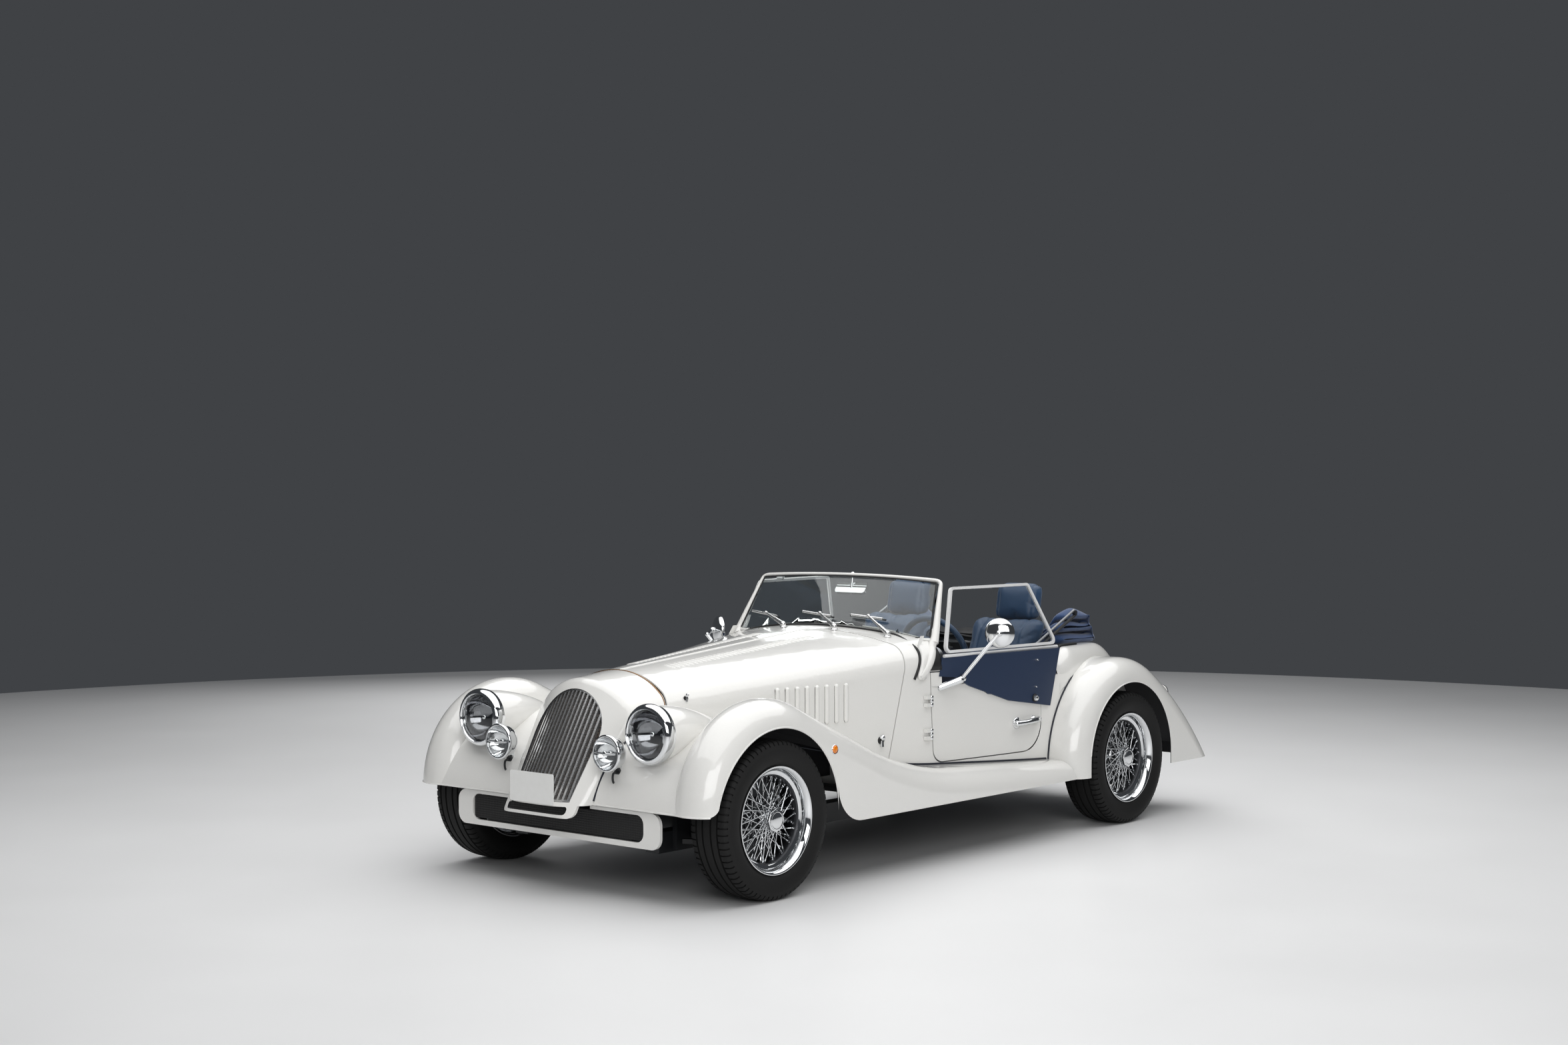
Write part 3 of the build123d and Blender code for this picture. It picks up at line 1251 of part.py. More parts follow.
def main():
    """Make every node and write it."""
    wing, wing_solid = front_wing()
    tail_wing, tail_solid = rear_wing()
    nose_cowl, cowl_solid = cowl()
    pairs = (
        ("front_wing", wing), ("rear_wing", tail_wing), ("bonnet", bonnet_left()), ("door", door_left()),
        ("side_screen_frame", side_frame()), ("side_screen_glass", side_glass()),
        ("side_screen_panel", side_panel()), ("door_mirror", door_mirror()), ("door_handle", door_handle()),
        ("knuckle", knuckle_left()), ("seat", seat_left()),
    )
    for name, shape in pairs:
        left, right = left_and_right(shape)
        save(name + "_left", left)
        save(name + "_right", right)
    save("cowl", nose_cowl)
    save("grille", grille())
    save("front_valance", front_valance(cowl_solid))
    save("valance_mesh", valance_mesh(cowl_solid))
    save("front_plate", front_plate(cowl_solid))
    save("rear_plate", rear_plate())
    save("lamp_shells", lamp_shells(wing_solid))
    save("lamp_lenses", lamp_lenses())
    save("side_repeaters", side_repeaters(wing_solid))
    save("rear_lamps", rear_lamps(tail_solid))
    body = main_tub()
    for side in left_and_right(hinge_knuckles()):
        body += side
    body += hinge_rod()
    save("body_tub", body)
    save("windscreen_frame", windscreen_frame())
    save("windscreen_glass", windscreen_glass())
    save("wipers", wipers())
    save("interior_mirror", interior_mirror())
    save("dashboard", dashboard())
    save("steering_column", steering_column())
    save("steering_wheel", steering_wheel())
    save("cockpit_trim", cockpit_trim())
    save("hood_bundle", hood_bundle())
    save("hood_frame", hood_frame())
    save("chassis_frame", chassis_frame())
    save("engine_block", engine_block())
    save("exhaust", exhaust())
    save("front_suspension", front_suspension())
    save("rear_axle", rear_axle())
    save("steering_rack", steering_rack())
    wheel = wire_wheel_shape()
    tyre = tyre_shape()
    for name, y in (("front", at(0)), ("rear", REAR_AXLE)):
        for piece, shape in (("wire_wheel", wheel), ("tyre", tyre)):
            left, right = left_and_right(Pos(WHEEL_X, y, TYRE_R) * shape)
            save(piece + "_" + name + "_left", left)
            save(piece + "_" + name + "_right", right)


main()
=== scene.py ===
"""Dress the open roadster: smooth pressings, real finishes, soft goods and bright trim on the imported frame."""
import json
import logging
import math
from dataclasses import dataclass
from enum import Enum
from typing import Optional, Sequence

import bmesh
import bpy
from mathutils import Matrix, Vector
from mathutils.bvhtree import BVHTree

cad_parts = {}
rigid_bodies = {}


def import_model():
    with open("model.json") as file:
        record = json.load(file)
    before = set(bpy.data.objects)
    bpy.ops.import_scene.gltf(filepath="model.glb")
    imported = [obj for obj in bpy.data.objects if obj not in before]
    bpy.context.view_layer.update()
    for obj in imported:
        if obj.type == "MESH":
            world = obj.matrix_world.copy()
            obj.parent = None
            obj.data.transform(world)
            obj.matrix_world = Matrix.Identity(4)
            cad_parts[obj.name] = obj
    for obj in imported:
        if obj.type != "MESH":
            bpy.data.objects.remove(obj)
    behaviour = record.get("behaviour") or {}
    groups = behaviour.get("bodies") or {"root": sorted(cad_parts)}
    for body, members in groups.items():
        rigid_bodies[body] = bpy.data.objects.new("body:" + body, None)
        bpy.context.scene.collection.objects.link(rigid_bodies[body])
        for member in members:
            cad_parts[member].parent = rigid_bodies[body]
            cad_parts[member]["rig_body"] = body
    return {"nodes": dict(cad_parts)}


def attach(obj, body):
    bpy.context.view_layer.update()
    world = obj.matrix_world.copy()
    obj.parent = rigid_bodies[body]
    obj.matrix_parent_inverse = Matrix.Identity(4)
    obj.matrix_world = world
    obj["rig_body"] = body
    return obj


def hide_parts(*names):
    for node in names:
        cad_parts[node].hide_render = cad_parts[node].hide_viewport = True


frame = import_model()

LOG = logging.getLogger("roadster")
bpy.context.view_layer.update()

FRONT_AXLE_Y = -1.360
REAR_AXLE_Y = 1.160
AXLE_Z = 0.306
# in millimetres, as stations are
WHEELBASE = 2520
WHEEL_X = 0.716
BODY = "car_body"
# vertices of a CAD copy that lie closer than this, in metres, are one
MERGE = 2e-5

Point = Sequence[float]


class Side(Enum):
    """Which side of the car a piece is on; the value is the sign of X."""

    LEFT = 1
    RIGHT = -1

    @property
    def word(self) -> str:
        """The side as node names spell it."""
        return self.name.lower()


class Pattern(Enum):
    """How a surface was made, which decides the nodes that draw it."""

    CLOUDED = "soft mottling"
    FLAKED = "sprayed flake"
    GRAINED = "embossed grain"
    WOVEN = "crossing threads"
    FLUTED = "moulded flutes"
    BRUSHED = "fine scratches one way"
    FIGURED = "wood figure"
    WIRED = "woven wire"


def pt(x: float, station: float, z: float) -> Vector:
    """A point in metres.

    Args:
        x: distance to the left of the middle line in millimetres.
        station: distance behind the front axle in millimetres.
        z: height above the ground in millimetres.

    Returns:
        The point in the shared frame.
    """
    return Vector((x / 1000, FRONT_AXLE_Y + station / 1000, z / 1000))


def linear(code: str) -> tuple[float, float, float, float]:
    """Turn an sRGB hex colour into linear light.

    Args:
        code: a colour such as "#e6e3da".

    Returns:
        Red, green, blue and an alpha of one.
    """
    parts = [int(code[i:i + 2], 16) / 255 for i in (1, 3, 5)]
    light = [c / 12.92 if c <= 0.04045 else ((c + 0.055) / 1.055) ** 2.4 for c in parts]
    return (light[0], light[1], light[2], 1.0)


def add_node(tree: bpy.types.NodeTree, kind: str, inputs: Optional[dict] = None,
             **settings: object) -> bpy.types.Node:
    """Add one node with its settings and links.

    Args:
        tree: the node tree to add to.
        kind: the node's type name.
        inputs: values or sockets for the node's inputs, by input name.
        settings: attributes of the node.

    Returns:
        The new node.
    """
    node = tree.nodes.new(kind)
    for key, value in settings.items():
        setattr(node, key, value)
    for key, value in (inputs or {}).items():
        if isinstance(value, bpy.types.NodeSocket):
            tree.links.new(value, node.inputs[key])
        else:
            node.inputs[key].default_value = value
    return node


@dataclass(frozen=True)
class Finish:
    """One real material: its colours, its gloss and the pattern its making leaves."""

    name: str
    colour: str
    second: str
    pattern: Pattern
    grain_mm: float
    roughness: float
    spread: float = 0.05
    bump_mm: float = 0.0
    metallic: float = 0.0
    ior: float = 1.5
    coat: float = 0.0
    sheen: float = 0.0
    transmission: float = 0.0

    def material(self) -> bpy.types.Material:
        """The finish as a material, made once.

        Returns:
            The node material.
        """
        made = bpy.data.materials.get(self.name)
        if made:
            return made
        made = bpy.data.materials.new(self.name)
        made.use_nodes = True
        tree = made.node_tree
        shader = tree.nodes["Principled BSDF"]
        values = {
            "Metallic": self.metallic, "Coat Weight": self.coat, "Coat Roughness": 0.06,
            "Sheen Weight": self.sheen, "Transmission Weight": self.transmission,
        }
        for key, value in values.items():
            shader.inputs[key].default_value = value
        if not self.metallic:
            shader.inputs["IOR"].default_value = self.ior
        height = self.heights(tree)
        colour = add_node(tree, "ShaderNodeMixRGB", {
            "Fac": height, "Color1": linear(self.colour), "Color2": linear(self.second)})
        tree.links.new(colour.outputs["Color"], shader.inputs["Base Color"])
        gloss = add_node(tree, "ShaderNodeMapRange", {
            "Value": height, "To Min": max(0.0, self.roughness - self.spread),
            "To Max": min(1.0, self.roughness + self.spread)})
        tree.links.new(gloss.outputs["Result"], shader.inputs["Roughness"])
        if self.bump_mm:
            bump = add_node(tree, "ShaderNodeBump", {
                "Height": height, "Distance": self.bump_mm / 1000, "Strength": 1.0})
            tree.links.new(bump.outputs["Normal"], shader.inputs["Normal"])
        made.diffuse_color = linear(self.colour)
        return made

    def heights(self, tree: bpy.types.NodeTree) -> bpy.types.NodeSocket:
        """Draw the pattern as heights from nought to one.

        Args:
            tree: the material's node tree.

        Returns:
            The socket that gives the height.
        """
        where = add_node(tree, "ShaderNodeTexCoord").outputs["Object"]
        cells = 1000 / self.grain_mm
        bands = 2 * math.pi / 20 * cells
        if self.pattern is Pattern.GRAINED:
            return add_node(tree, "ShaderNodeTexVoronoi", {"Vector": where, "Scale": cells},
                            feature="SMOOTH_F1").outputs["Distance"]
        if self.pattern is Pattern.WOVEN:
            turned = add_node(tree, "ShaderNodeMapping", {"Vector": where, "Rotation": (0.6, 0.6, 0.78)})
            warp = add_node(tree, "ShaderNodeTexWave", {"Vector": turned.outputs["Vector"], "Scale": bands},
                            bands_direction="X")
            weft = add_node(tree, "ShaderNodeTexWave", {"Vector": turned.outputs["Vector"], "Scale": bands},
                            bands_direction="Y")
            return add_node(tree, "ShaderNodeMath", {0: warp.outputs["Fac"], 1: weft.outputs["Fac"]},
                            operation="MULTIPLY").outputs["Value"]
        if self.pattern is Pattern.WIRED:
            warp = add_node(tree, "ShaderNodeTexWave", {"Vector": where, "Scale": bands}, bands_direction="X")
            weft = add_node(tree, "ShaderNodeTexWave", {"Vector": where, "Scale": bands}, bands_direction="Z")
            return add_node(tree, "ShaderNodeMath", {0: warp.outputs["Fac"], 1: weft.outputs["Fac"]},
                            operation="MAXIMUM").outputs["Value"]
        if self.pattern is Pattern.FLUTED:
            return add_node(tree, "ShaderNodeTexWave", {"Vector": where, "Scale": bands},
                            bands_direction="X").outputs["Fac"]
        if self.pattern is Pattern.BRUSHED:
            drawn = add_node(tree, "ShaderNodeMapping", {"Vector": where, "Scale": (1.0, 0.03, 1.0)})
            return add_node(tree, "ShaderNodeTexNoise", {"Vector": drawn.outputs["Vector"], "Scale": cells,
                                                         "Detail": 4.0}).outputs["Fac"]
        if self.pattern is Pattern.FIGURED:
            drawn = add_node(tree, "ShaderNodeMapping", {"Vector": where, "Scale": (0.25, 1.0, 1.0)})
            return add_node(tree, "ShaderNodeTexWave", {
                "Vector": drawn.outputs["Vector"], "Scale": bands, "Distortion": 6.0, "Detail": 3.0,
                "Detail Scale": 1.4}, bands_direction="Z").outputs["Fac"]
        if self.pattern is Pattern.FLAKED:
            return add_node(tree, "ShaderNodeTexVoronoi", {"Vector": where, "Scale": cells}).outputs["Color"]
        return add_node(tree, "ShaderNodeTexNoise", {"Vector": where, "Scale": cells, "Detail": 5.0}).outputs["Fac"]


# Pearl paint: fine flake under a thick clear coat; the 0.8 mm flake is drawn coarse enough to show.
PAINT = Finish("sprayed_pearl_paint", "#e0dfdb", "#e7e6e3", Pattern.FLAKED, 0.8, 0.34, 0.04, coat=1.0)
# Underseal: sprayed tar, dull and pebbled.
UNDERSEAL = Finish("sprayed_underseal", "#1c1c1d", "#26262a", Pattern.CLOUDED, 6.0, 0.85, 0.08, 0.6)
# Chromium plate: near mirror with faint polishing haze.
CHROME = Finish("chromium_plate", "#d6d8da", "#e2e3e4", Pattern.CLOUDED, 40.0, 0.07, 0.03, metallic=1.0)
# Polished stainless wire: a touch greyer than plate.
SPOKE_STEEL = Finish("polished_stainless_wire", "#c4c6c8", "#d8dadc", Pattern.CLOUDED, 25.0, 0.14, 0.04,
                     metallic=1.0)
# Tyre rubber: moulded, dull, lightly bloomed.
TYRE = Finish("moulded_tyre_rubber", "#060606", "#0c0c0c", Pattern.CLOUDED, 3.0, 0.72, 0.1, 0.15, ior=1.42)
# Weather-seal rubber: extruded and smoother than a tyre.
SEAL = Finish("extruded_seal_rubber", "#101011", "#1b1b1c", Pattern.CLOUDED, 8.0, 0.55, 0.08)
# Seat hide: blue leather with a pebbled grain and a soft wax gloss.
HIDE = Finish("pebbled_seat_hide", "#1c3855", "#244364", Pattern.GRAINED, 3.0, 0.46, 0.08, 0.25, sheen=0.12)
# Trim vinyl: navy leathercloth with a fine embossed grain.
VINYL = Finish("embossed_navy_vinyl", "#152642", "#1d314e", Pattern.GRAINED, 1.8, 0.5, 0.06, 0.12)
# Cabin leathercloth: black, finely grained, dull.
LINING = Finish("embossed_black_leathercloth", "#0c0d0f", "#16171a", Pattern.GRAINED, 2.2, 0.55, 0.08, 0.12)
# Hood cloth: woven mohair; the 1 mm thread is drawn at 3 mm so that it shows.
MOHAIR = Finish("woven_hood_mohair", "#233b63", "#3a5886", Pattern.WOVEN, 3.0, 0.88, 0.06, 0.4, sheen=0.3)
# Loop-pile carpet on floor and tunnel.
CARPET = Finish("loop_pile_carpet", "#141a2a", "#222c45", Pattern.GRAINED, 4.0, 0.95, 0.04, 1.2, sheen=0.4)
# Laminated windscreen glass: clear with a trace of green.
GLASS = Finish("laminated_screen_glass", "#f2f8f6", "#f6faf8", Pattern.CLOUDED, 300.0, 0.01, 0.005,
               ior=1.45, transmission=1.0)
# Side panes: clear cast acrylic.
PANE = Finish("cast_acrylic_pane", "#f4f6f6", "#f8f9f9", Pattern.CLOUDED, 200.0, 0.015, 0.01,
              ior=1.42, transmission=1.0)
# Lamp glass: clear, smooth and domed.
LAMP_GLASS = Finish("clear_lamp_glass", "#f6f8f8", "#ffffff", Pattern.CLOUDED, 120.0, 0.012, 0.008,
                    ior=1.4, transmission=1.0)
# Lamp bowl: mirror plate with its colour darkened as painted shade in the bowl, dark where nothing bright stands
# before it.
SHADE_DARK_MIRROR = Finish("smoked_mirror_plate", "#808184", "#8e8f92", Pattern.CLOUDED, 60.0, 0.08, 0.03, metallic=1.0)
# Grille wire: drawn stainless woven on the slant, coloured a dark brown.
BRIGHT_WIRE = Finish("drawn_woven_wire", "#5a504a", "#74685f", Pattern.CLOUDED, 12.0, 0.42, 0.06, metallic=1.0)
# Grille slats: rolled stainless strip, buffed to a broad soft shine.
SLAT_STEEL = Finish("buffed_stainless_strip", "#d2d2d2", "#e2e2e2", Pattern.BRUSHED, 3.0, 0.26, 0.05, metallic=0.9)
# Amber and red lamp covers: moulded acrylic.
AMBER = Finish("moulded_amber_acrylic", "#d9730c", "#f08a12", Pattern.FLUTED, 5.0, 0.14, 0.04, 0.3, coat=0.6)
RED = Finish("moulded_red_acrylic", "#8e0f12", "#b3161a", Pattern.FLUTED, 6.0, 0.14, 0.04, 0.3, coat=0.6)
# Woven wire mesh in the air intakes, painted black.
WIRE_MESH = Finish("black_woven_wire", "#020202", "#0c0c0d", Pattern.WIRED, 9.0, 0.62, 0.1, 1.2)
# Chassis black: brushed-on satin paint.
CHASSIS = Finish("satin_chassis_black", "#161719", "#222427", Pattern.CLOUDED, 30.0, 0.45, 0.1, 0.1)
# Cast iron and cast alloy: sand-cast skin.
IRON = Finish("sand_cast_iron", "#3a3a3c", "#505054", Pattern.CLOUDED, 4.0, 0.5, 0.1, 0.2, metallic=0.9)
ALLOY = Finish("sand_cast_alloy", "#85878a", "#9c9ea1", Pattern.CLOUDED, 4.0, 0.42, 0.08, 0.15, metallic=1.0)
# Turned steel, finely ringed, its colour darkened as painted shade: it makes the brake discs, and paints shade on
# the rim's well and the hub's inner half behind the spokes.
SHADE_DARK_STEEL = Finish("ground_disc_steel", "#3a3b3d", "#4c4d50", Pattern.BRUSHED, 2.0, 0.4, 0.08, metallic=1.0)
# Anodised aluminium section round the side panes.
ANODISED = Finish("anodised_aluminium", "#dcdddd", "#e9e9e9", Pattern.BRUSHED, 1.5, 0.34, 0.07, metallic=0.15)
# Walnut veneer under lacquer.
WALNUT = Finish("lacquered_walnut", "#3a2013", "#6b4226", Pattern.FIGURED, 14.0, 0.3, 0.05, coat=0.8)
# Welt piping: leathercloth rolled round a cord.
WELT = Finish("rolled_welt_piping", "#10141f", "#1a2030", Pattern.GRAINED, 1.5, 0.55, 0.08, 0.1)
# Blank plate: white acrylic with a soft gloss.
PLATE = Finish("blank_white_acrylic", "#e6e6e3", "#eeeeec", Pattern.CLOUDED, 20.0, 0.3, 0.05, coat=0.3)
# Dial faces: matt black print ground.
DIAL = Finish("matt_dial_black", "#0c0c0d", "#151516", Pattern.CLOUDED, 5.0, 0.7, 0.05)
# Copper-brown sealing line on the cowl's rear edge: drawn brass under lacquer.
COPPER = Finish("lacquered_brass_hinge", "#8a6a50", "#a5835f", Pattern.BRUSHED, 3.0, 0.35, 0.08, metallic=1.0)
# Studio floor: poured pale epoxy with a broad gloss.
FLOOR = Finish("poured_pale_epoxy", "#e7e7e7", "#ececec", Pattern.CLOUDED, 900.0, 0.42, 0.05)


class Skin:
    """The outside of a CAD node, for setting trim on it."""

    def __init__(self, *nodes: str) -> None:
        """Gather the nodes' faces.

        Args:
            nodes: names of the CAD nodes.
        """
        gathered = bmesh.new()
        for name in nodes:
            gathered.from_mesh(frame["nodes"][name].data)
        self.tree = BVHTree.FromBMesh(gathered)
        gathered.free()

    def hit(self, start: Vector, way: Vector) -> tuple[Vector, Vector]:
        """Where a straight line first meets the skin.

        Args:
            start: a point outside.
            way: the direction to look.

        Returns:
            The point met and the outward normal there, or the start point if nothing is met.
        """
        place, normal, _, _ = self.tree.ray_cast(start, way)
        if place is None:
            return start, -way
        return place, normal if normal.dot(way) < 0 else -normal

    def side(self, side: Side, station: float, z: float) -> tuple[Vector, Vector]:
        """The skin's point seen squarely from one side.

        Args:
            side: the side looked from.
            station: millimetres behind the front axle.
            z: height in millimetres.

        Returns:
            The point and its normal.
        """
        return self.hit(pt(side.value * 1500, station, z), Vector((-side.value, 0, 0)))

    def top(self, x: float, station: float) -> tuple[Vector, Vector]:
        """The skin's point seen from above.

        Args:
            x: millimetres to the left.
            station: millimetres behind the front axle.

        Returns:
            The point and its normal.
        """
        return self.hit(pt(x, station, 2000), Vector((0, 0, -1)))


def line_mesh(points: Sequence[Vector], resolution: int, radius: float = 0.0,
              swell: Sequence[float] = ()) -> bpy.types.Mesh:
    """A smooth line as a mesh: bare edges, or a round bar where it has a radius.

    Args:
        points: points that the line follows.
        resolution: steps from one point to the next.
        radius: the bar's radius in metres.
        swell: a factor on the radius at each point, where it changes.

    Returns:
        The new mesh.
    """
    data = bpy.data.curves.new("line", "CURVE")
    data.dimensions = "3D"
    data.bevel_depth = radius
    data.bevel_resolution = 3
    data.use_fill_caps = True
    line = data.splines.new("NURBS")
    line.points.add(len(points) - 1)
    for spot, place in zip(line.points, points):
        spot.co = (*place, 1.0)
    for spot, factor in zip(line.points, swell):
        spot.radius = factor
    line.order_u = 3
    line.use_endpoint_u = True
    line.resolution_u = resolution
    drawn = bpy.data.objects.new("line", data)
    mesh = bpy.data.meshes.new_from_object(drawn)
    bpy.data.objects.remove(drawn)
    bpy.data.curves.remove(data)
    return mesh


class Shape:
    """A mesh in the making: operators add to it, and piece() hands it over."""

    def __init__(self) -> None:
        """Start with nothing."""
        self.bm = bmesh.new()

    def rod(self, start: Vector, end: Vector, radius: float, tip: Optional[float] = None, sides: int = 12) -> list:
        """Add a round bar.

        Args:
            start: centre of one end.
            end: centre of the other end.
            radius: radius at the start, in metres.
            tip: radius at the end where the bar tapers.
            sides: how many flats stand for the round.

        Returns:
            The new vertices.
        """
        way = end - start
        turn = way.to_track_quat("Z", "Y").to_matrix().to_4x4()
        place = Matrix.Translation((start + end) / 2) @ turn
        return bmesh.ops.create_cone(self.bm, cap_ends=True, segments=sides, radius1=radius,
                                     radius2=radius if tip is None else tip, depth=way.length, matrix=place)["verts"]

    def block(self, low: Vector, high: Vector, round_off: float = 0.0, turn: Optional[Matrix] = None) -> list:
        """Add a box with rounded edges.

        Args:
            low: lowest corner.
            high: highest corner.
            round_off: edge radius in metres.
            turn: a transform applied afterwards.

        Returns:
            The new vertices.
        """
        size = high - low
        place = Matrix.Translation((low + high) / 2) @ Matrix.Diagonal((*size, 1.0))
        verts = bmesh.ops.create_cube(self.bm, size=1.0, matrix=place)["verts"]
        if round_off:
            edges = list({e for v in verts for e in v.link_edges})
            made = bmesh.ops.bevel(self.bm, geom=edges, offset=round_off, offset_type="OFFSET", segments=3,
                                   profile=0.5, affect="EDGES", material=-1, clamp_overlap=True)
            verts = list({v for f in made["faces"] for v in f.verts} | {v for v in verts if v.is_valid})
        if turn:
            bmesh.ops.transform(self.bm, matrix=turn, verts=verts)
        return verts

    def ball(self, centre: Vector, radius: float, stretch: Point = (1, 1, 1), turn: Optional[Matrix] = None,
             rings: int = 10) -> list:
        """Add a ball or a stretched ball.

        Args:
            centre: its middle.
            radius: its radius in metres.
            stretch: factors along its own axes.
            turn: its rotation.
            rings: rings from pole to pole.

        Returns:
            The new vertices.
        """
        place = Matrix.Translation(centre) @ (turn or Matrix()) @ Matrix.Diagonal((*stretch, 1.0))
        return bmesh.ops.create_uvsphere(self.bm, u_segments=2 * rings, v_segments=rings, radius=radius,
                                         matrix=place)["verts"]

    def lathe(self, outline: Sequence[tuple[float, float]], centre: Vector, axis: Vector, steps: int = 48,
              closed: bool = False) -> list:
        """Spin an outline about an axis.

        Args:
            outline: pairs of radius and distance along the axis, in millimetres.
            centre: the point on the axis that distances count from.
            axis: the axis.
            steps: how many steps go round.
            closed: whether the outline's last point joins its first.

        Returns:
            The new faces.
        """
        work = bmesh.new()
        axis = axis.normalized()
        out = axis.orthogonal().normalized()
        verts = [work.verts.new(out * (r / 1000) + axis * (s / 1000)) for r, s in outline]
        pairs = list(zip(verts, verts[1:])) + ([(verts[-1], verts[0])] if closed else [])
        edges = [work.edges.new(pair) for pair in pairs]
        bmesh.ops.spin(work, geom=verts + edges, cent=(0, 0, 0), axis=axis, angle=2 * math.pi, steps=steps,
                       use_merge=True, use_duplicate=False)
        bmesh.ops.remove_doubles(work, verts=work.verts, dist=1e-6)
        bmesh.ops.recalc_face_normals(work, faces=work.faces)
        bmesh.ops.translate(work, verts=work.verts, vec=centre)
        made = self.join(work)
        work.free()
        return made

    def sweep(self, points: Sequence[Vector], radius: float, swell: Optional[Sequence[float]] = None) -> list:
        """Draw a round bar along a smooth line.

        Args:
            points: points that the line follows.
            radius: the bar's radius in metres.
            swell: a factor on the radius at each point, where it changes.

        Returns:
            The new faces.
        """
        mesh = line_mesh(points, 6, radius, swell or ())
        before = set(self.bm.faces)
        self.bm.from_mesh(mesh)
        bpy.data.meshes.remove(mesh)
        return [f for f in self.bm.faces if f not in before]

    def take(self, node: str) -> None:
        """Add a merged copy of a CAD node's mesh."""
        self.bm.from_mesh(frame["nodes"][node].data)
        bmesh.ops.remove_doubles(self.bm, verts=self.bm.verts, dist=MERGE)

    def panel(self, rows: Sequence[list]) -> None:
        """Close rows of vertices into one sheet of faces.

        Args:
            rows: equally long rows of vertices, in order.
        """
        for low, high in zip(rows, rows[1:]):
            for i in range(len(low) - 1):
                self.bm.faces.new((low[i], low[i + 1], high[i + 1], high[i]))
        bmesh.ops.recalc_face_normals(self.bm, faces=self.bm.faces)

    def join(self, other: bmesh.types.BMesh) -> list:
        """Add another mesh.

        Args:
            other: the mesh to add.

        Returns:
            The new faces.
        """
        mesh = bpy.data.meshes.new("joined")
        other.to_mesh(mesh)
        before = len(self.bm.faces)
        self.bm.from_mesh(mesh)
        bpy.data.meshes.remove(mesh)
        self.bm.faces.ensure_lookup_table()
        return self.bm.faces[before:]

    def piece(self, name: str, finish: Finish, body: str = BODY, stands_for: Sequence[str] = (),
              sharp: float = 35.0) -> bpy.types.Object:
        """Hand the mesh over as a finished piece.

        Args:
            name: the piece's name.
            finish: what it is made of.
            body: the CAD body that it rides on.
            stands_for: CAD nodes that it replaces.
            sharp: edges that fold more than this many degrees stay sharp.

        Returns:
            The new object.
        """
        mesh = bpy.data.meshes.new(name)
        self.bm.to_mesh(mesh)
        self.bm.free()
        return hand_over(mesh, name, finish, body, stands_for, sharp)


def hand_over(mesh: bpy.types.Mesh, name: str, finish: Finish, body: str, stands_for: Sequence[str],
              sharp: float) -> bpy.types.Object:
    """Make a mesh into a piece that rides on a body.

    Args:
        mesh: the finished mesh.
        name: the piece's name.
        finish: its first finish.
        body: the CAD body that it rides on.
        stands_for: CAD nodes that it replaces.
        sharp: edges that fold more than this many degrees stay sharp.

    Returns:
        The new object.
    """
    mesh.shade_smooth()
    mesh.set_sharp_from_angle(angle=math.radians(sharp))
    if not mesh.materials:
        mesh.materials.append(finish.material())
    made = bpy.data.objects.new(name, mesh)
    bpy.context.scene.collection.objects.link(made)
    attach(made, body)
    if stands_for:
        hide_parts(*stands_for)
    LOG.info("%s: %d faces on %s", name, len(mesh.polygons), body)
    return made


def thicken(made: bpy.types.Object, thickness: float, offset: float = -1.0) -> None:
    """Give a sheet its thickness, in metres.

    Args:
        made: the sheet.
        thickness: how thick it becomes.
        offset: -1 to grow inward, 1 to grow outward.
    """
    thick = made.modifiers.new("thick", "SOLIDIFY")
    thick.thickness = thickness
    thick.offset = offset


def soften(made: bpy.types.Object) -> None:
    """Round a soft piece by one subdivision.

    Args:
        made: the piece.
    """
    soft = made.modifiers.new("soft", "SUBSURF")
    soft.levels = 1
    soft.render_levels = 1


def eased(share: float) -> float:
    """A share from 0 to 1 that starts and ends without a kink."""
    return share ** 3 * (10 - 15 * share + 6 * share ** 2)


def body_of_node(node: str) -> str:
    """The body that carries a CAD node."""
    return frame["nodes"][node]["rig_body"]


@dataclass
class Pressing:
    """A CAD panel shown smooth: a merged copy of its mesh, with another finish on its hidden side."""

    node: str
    finish: Finish
    inside: Optional[Finish] = None
    core: Optional[tuple[Vector, Vector]] = None
    bare: Optional[tuple[Vector, Vector]] = None
    sharp: float = 28.0
    slim_mm: float = 0.0

    def dress(self) -> bpy.types.Object:
        """Copy, merge and smooth the node.

        Returns:
            The piece that stands for the node.
        """
        work = bmesh.new()
        work.from_mesh(frame["nodes"][self.node].data)
        bmesh.ops.remove_doubles(work, verts=work.verts, dist=MERGE)
        bmesh.ops.dissolve_degenerate(work, edges=work.edges, dist=1e-6)
        if self.slim_mm:
            work.normal_update()
            for vert, normal in [(v, v.normal.copy()) for v in work.verts]:
                vert.co -= normal * (self.slim_mm / 1000)
        for face in work.faces:
            face.material_index = int(self.hidden(face))
        mesh = bpy.data.meshes.new(self.node + "_panel")
        work.to_mesh(mesh)
        work.free()
        if "custom_normal" in mesh.attributes:
            mesh.attributes.remove(mesh.attributes["custom_normal"])
        mesh.materials.append(self.finish.material())
        mesh.materials.append((self.inside or self.finish).material())
        made = hand_over(mesh, self.node + "_panel", self.finish, body_of_node(self.node), [self.node], self.sharp)
        even = made.modifiers.new("even", "WEIGHTED_NORMAL")
        even.keep_sharp = True
        even.weight = 50
        return made

    def hidden(self, face: bmesh.types.BMFace) -> bool:
        """Whether a face looks towards the panel's core.

        Args:
            face: a face of the panel.

        Returns:
            True on the hidden side.
        """
        if not self.core:
            return False
        centre = face.calc_center_median()
        if self.bare and all(a < c < b for a, c, b in zip(self.bare[0], centre, self.bare[1])):
            return False
        low, high = self.core
        near = Vector([min(max(c, a), b) for c, a, b in zip(centre, low, high)])
        return (centre - near).dot(face.normal) < -1e-5


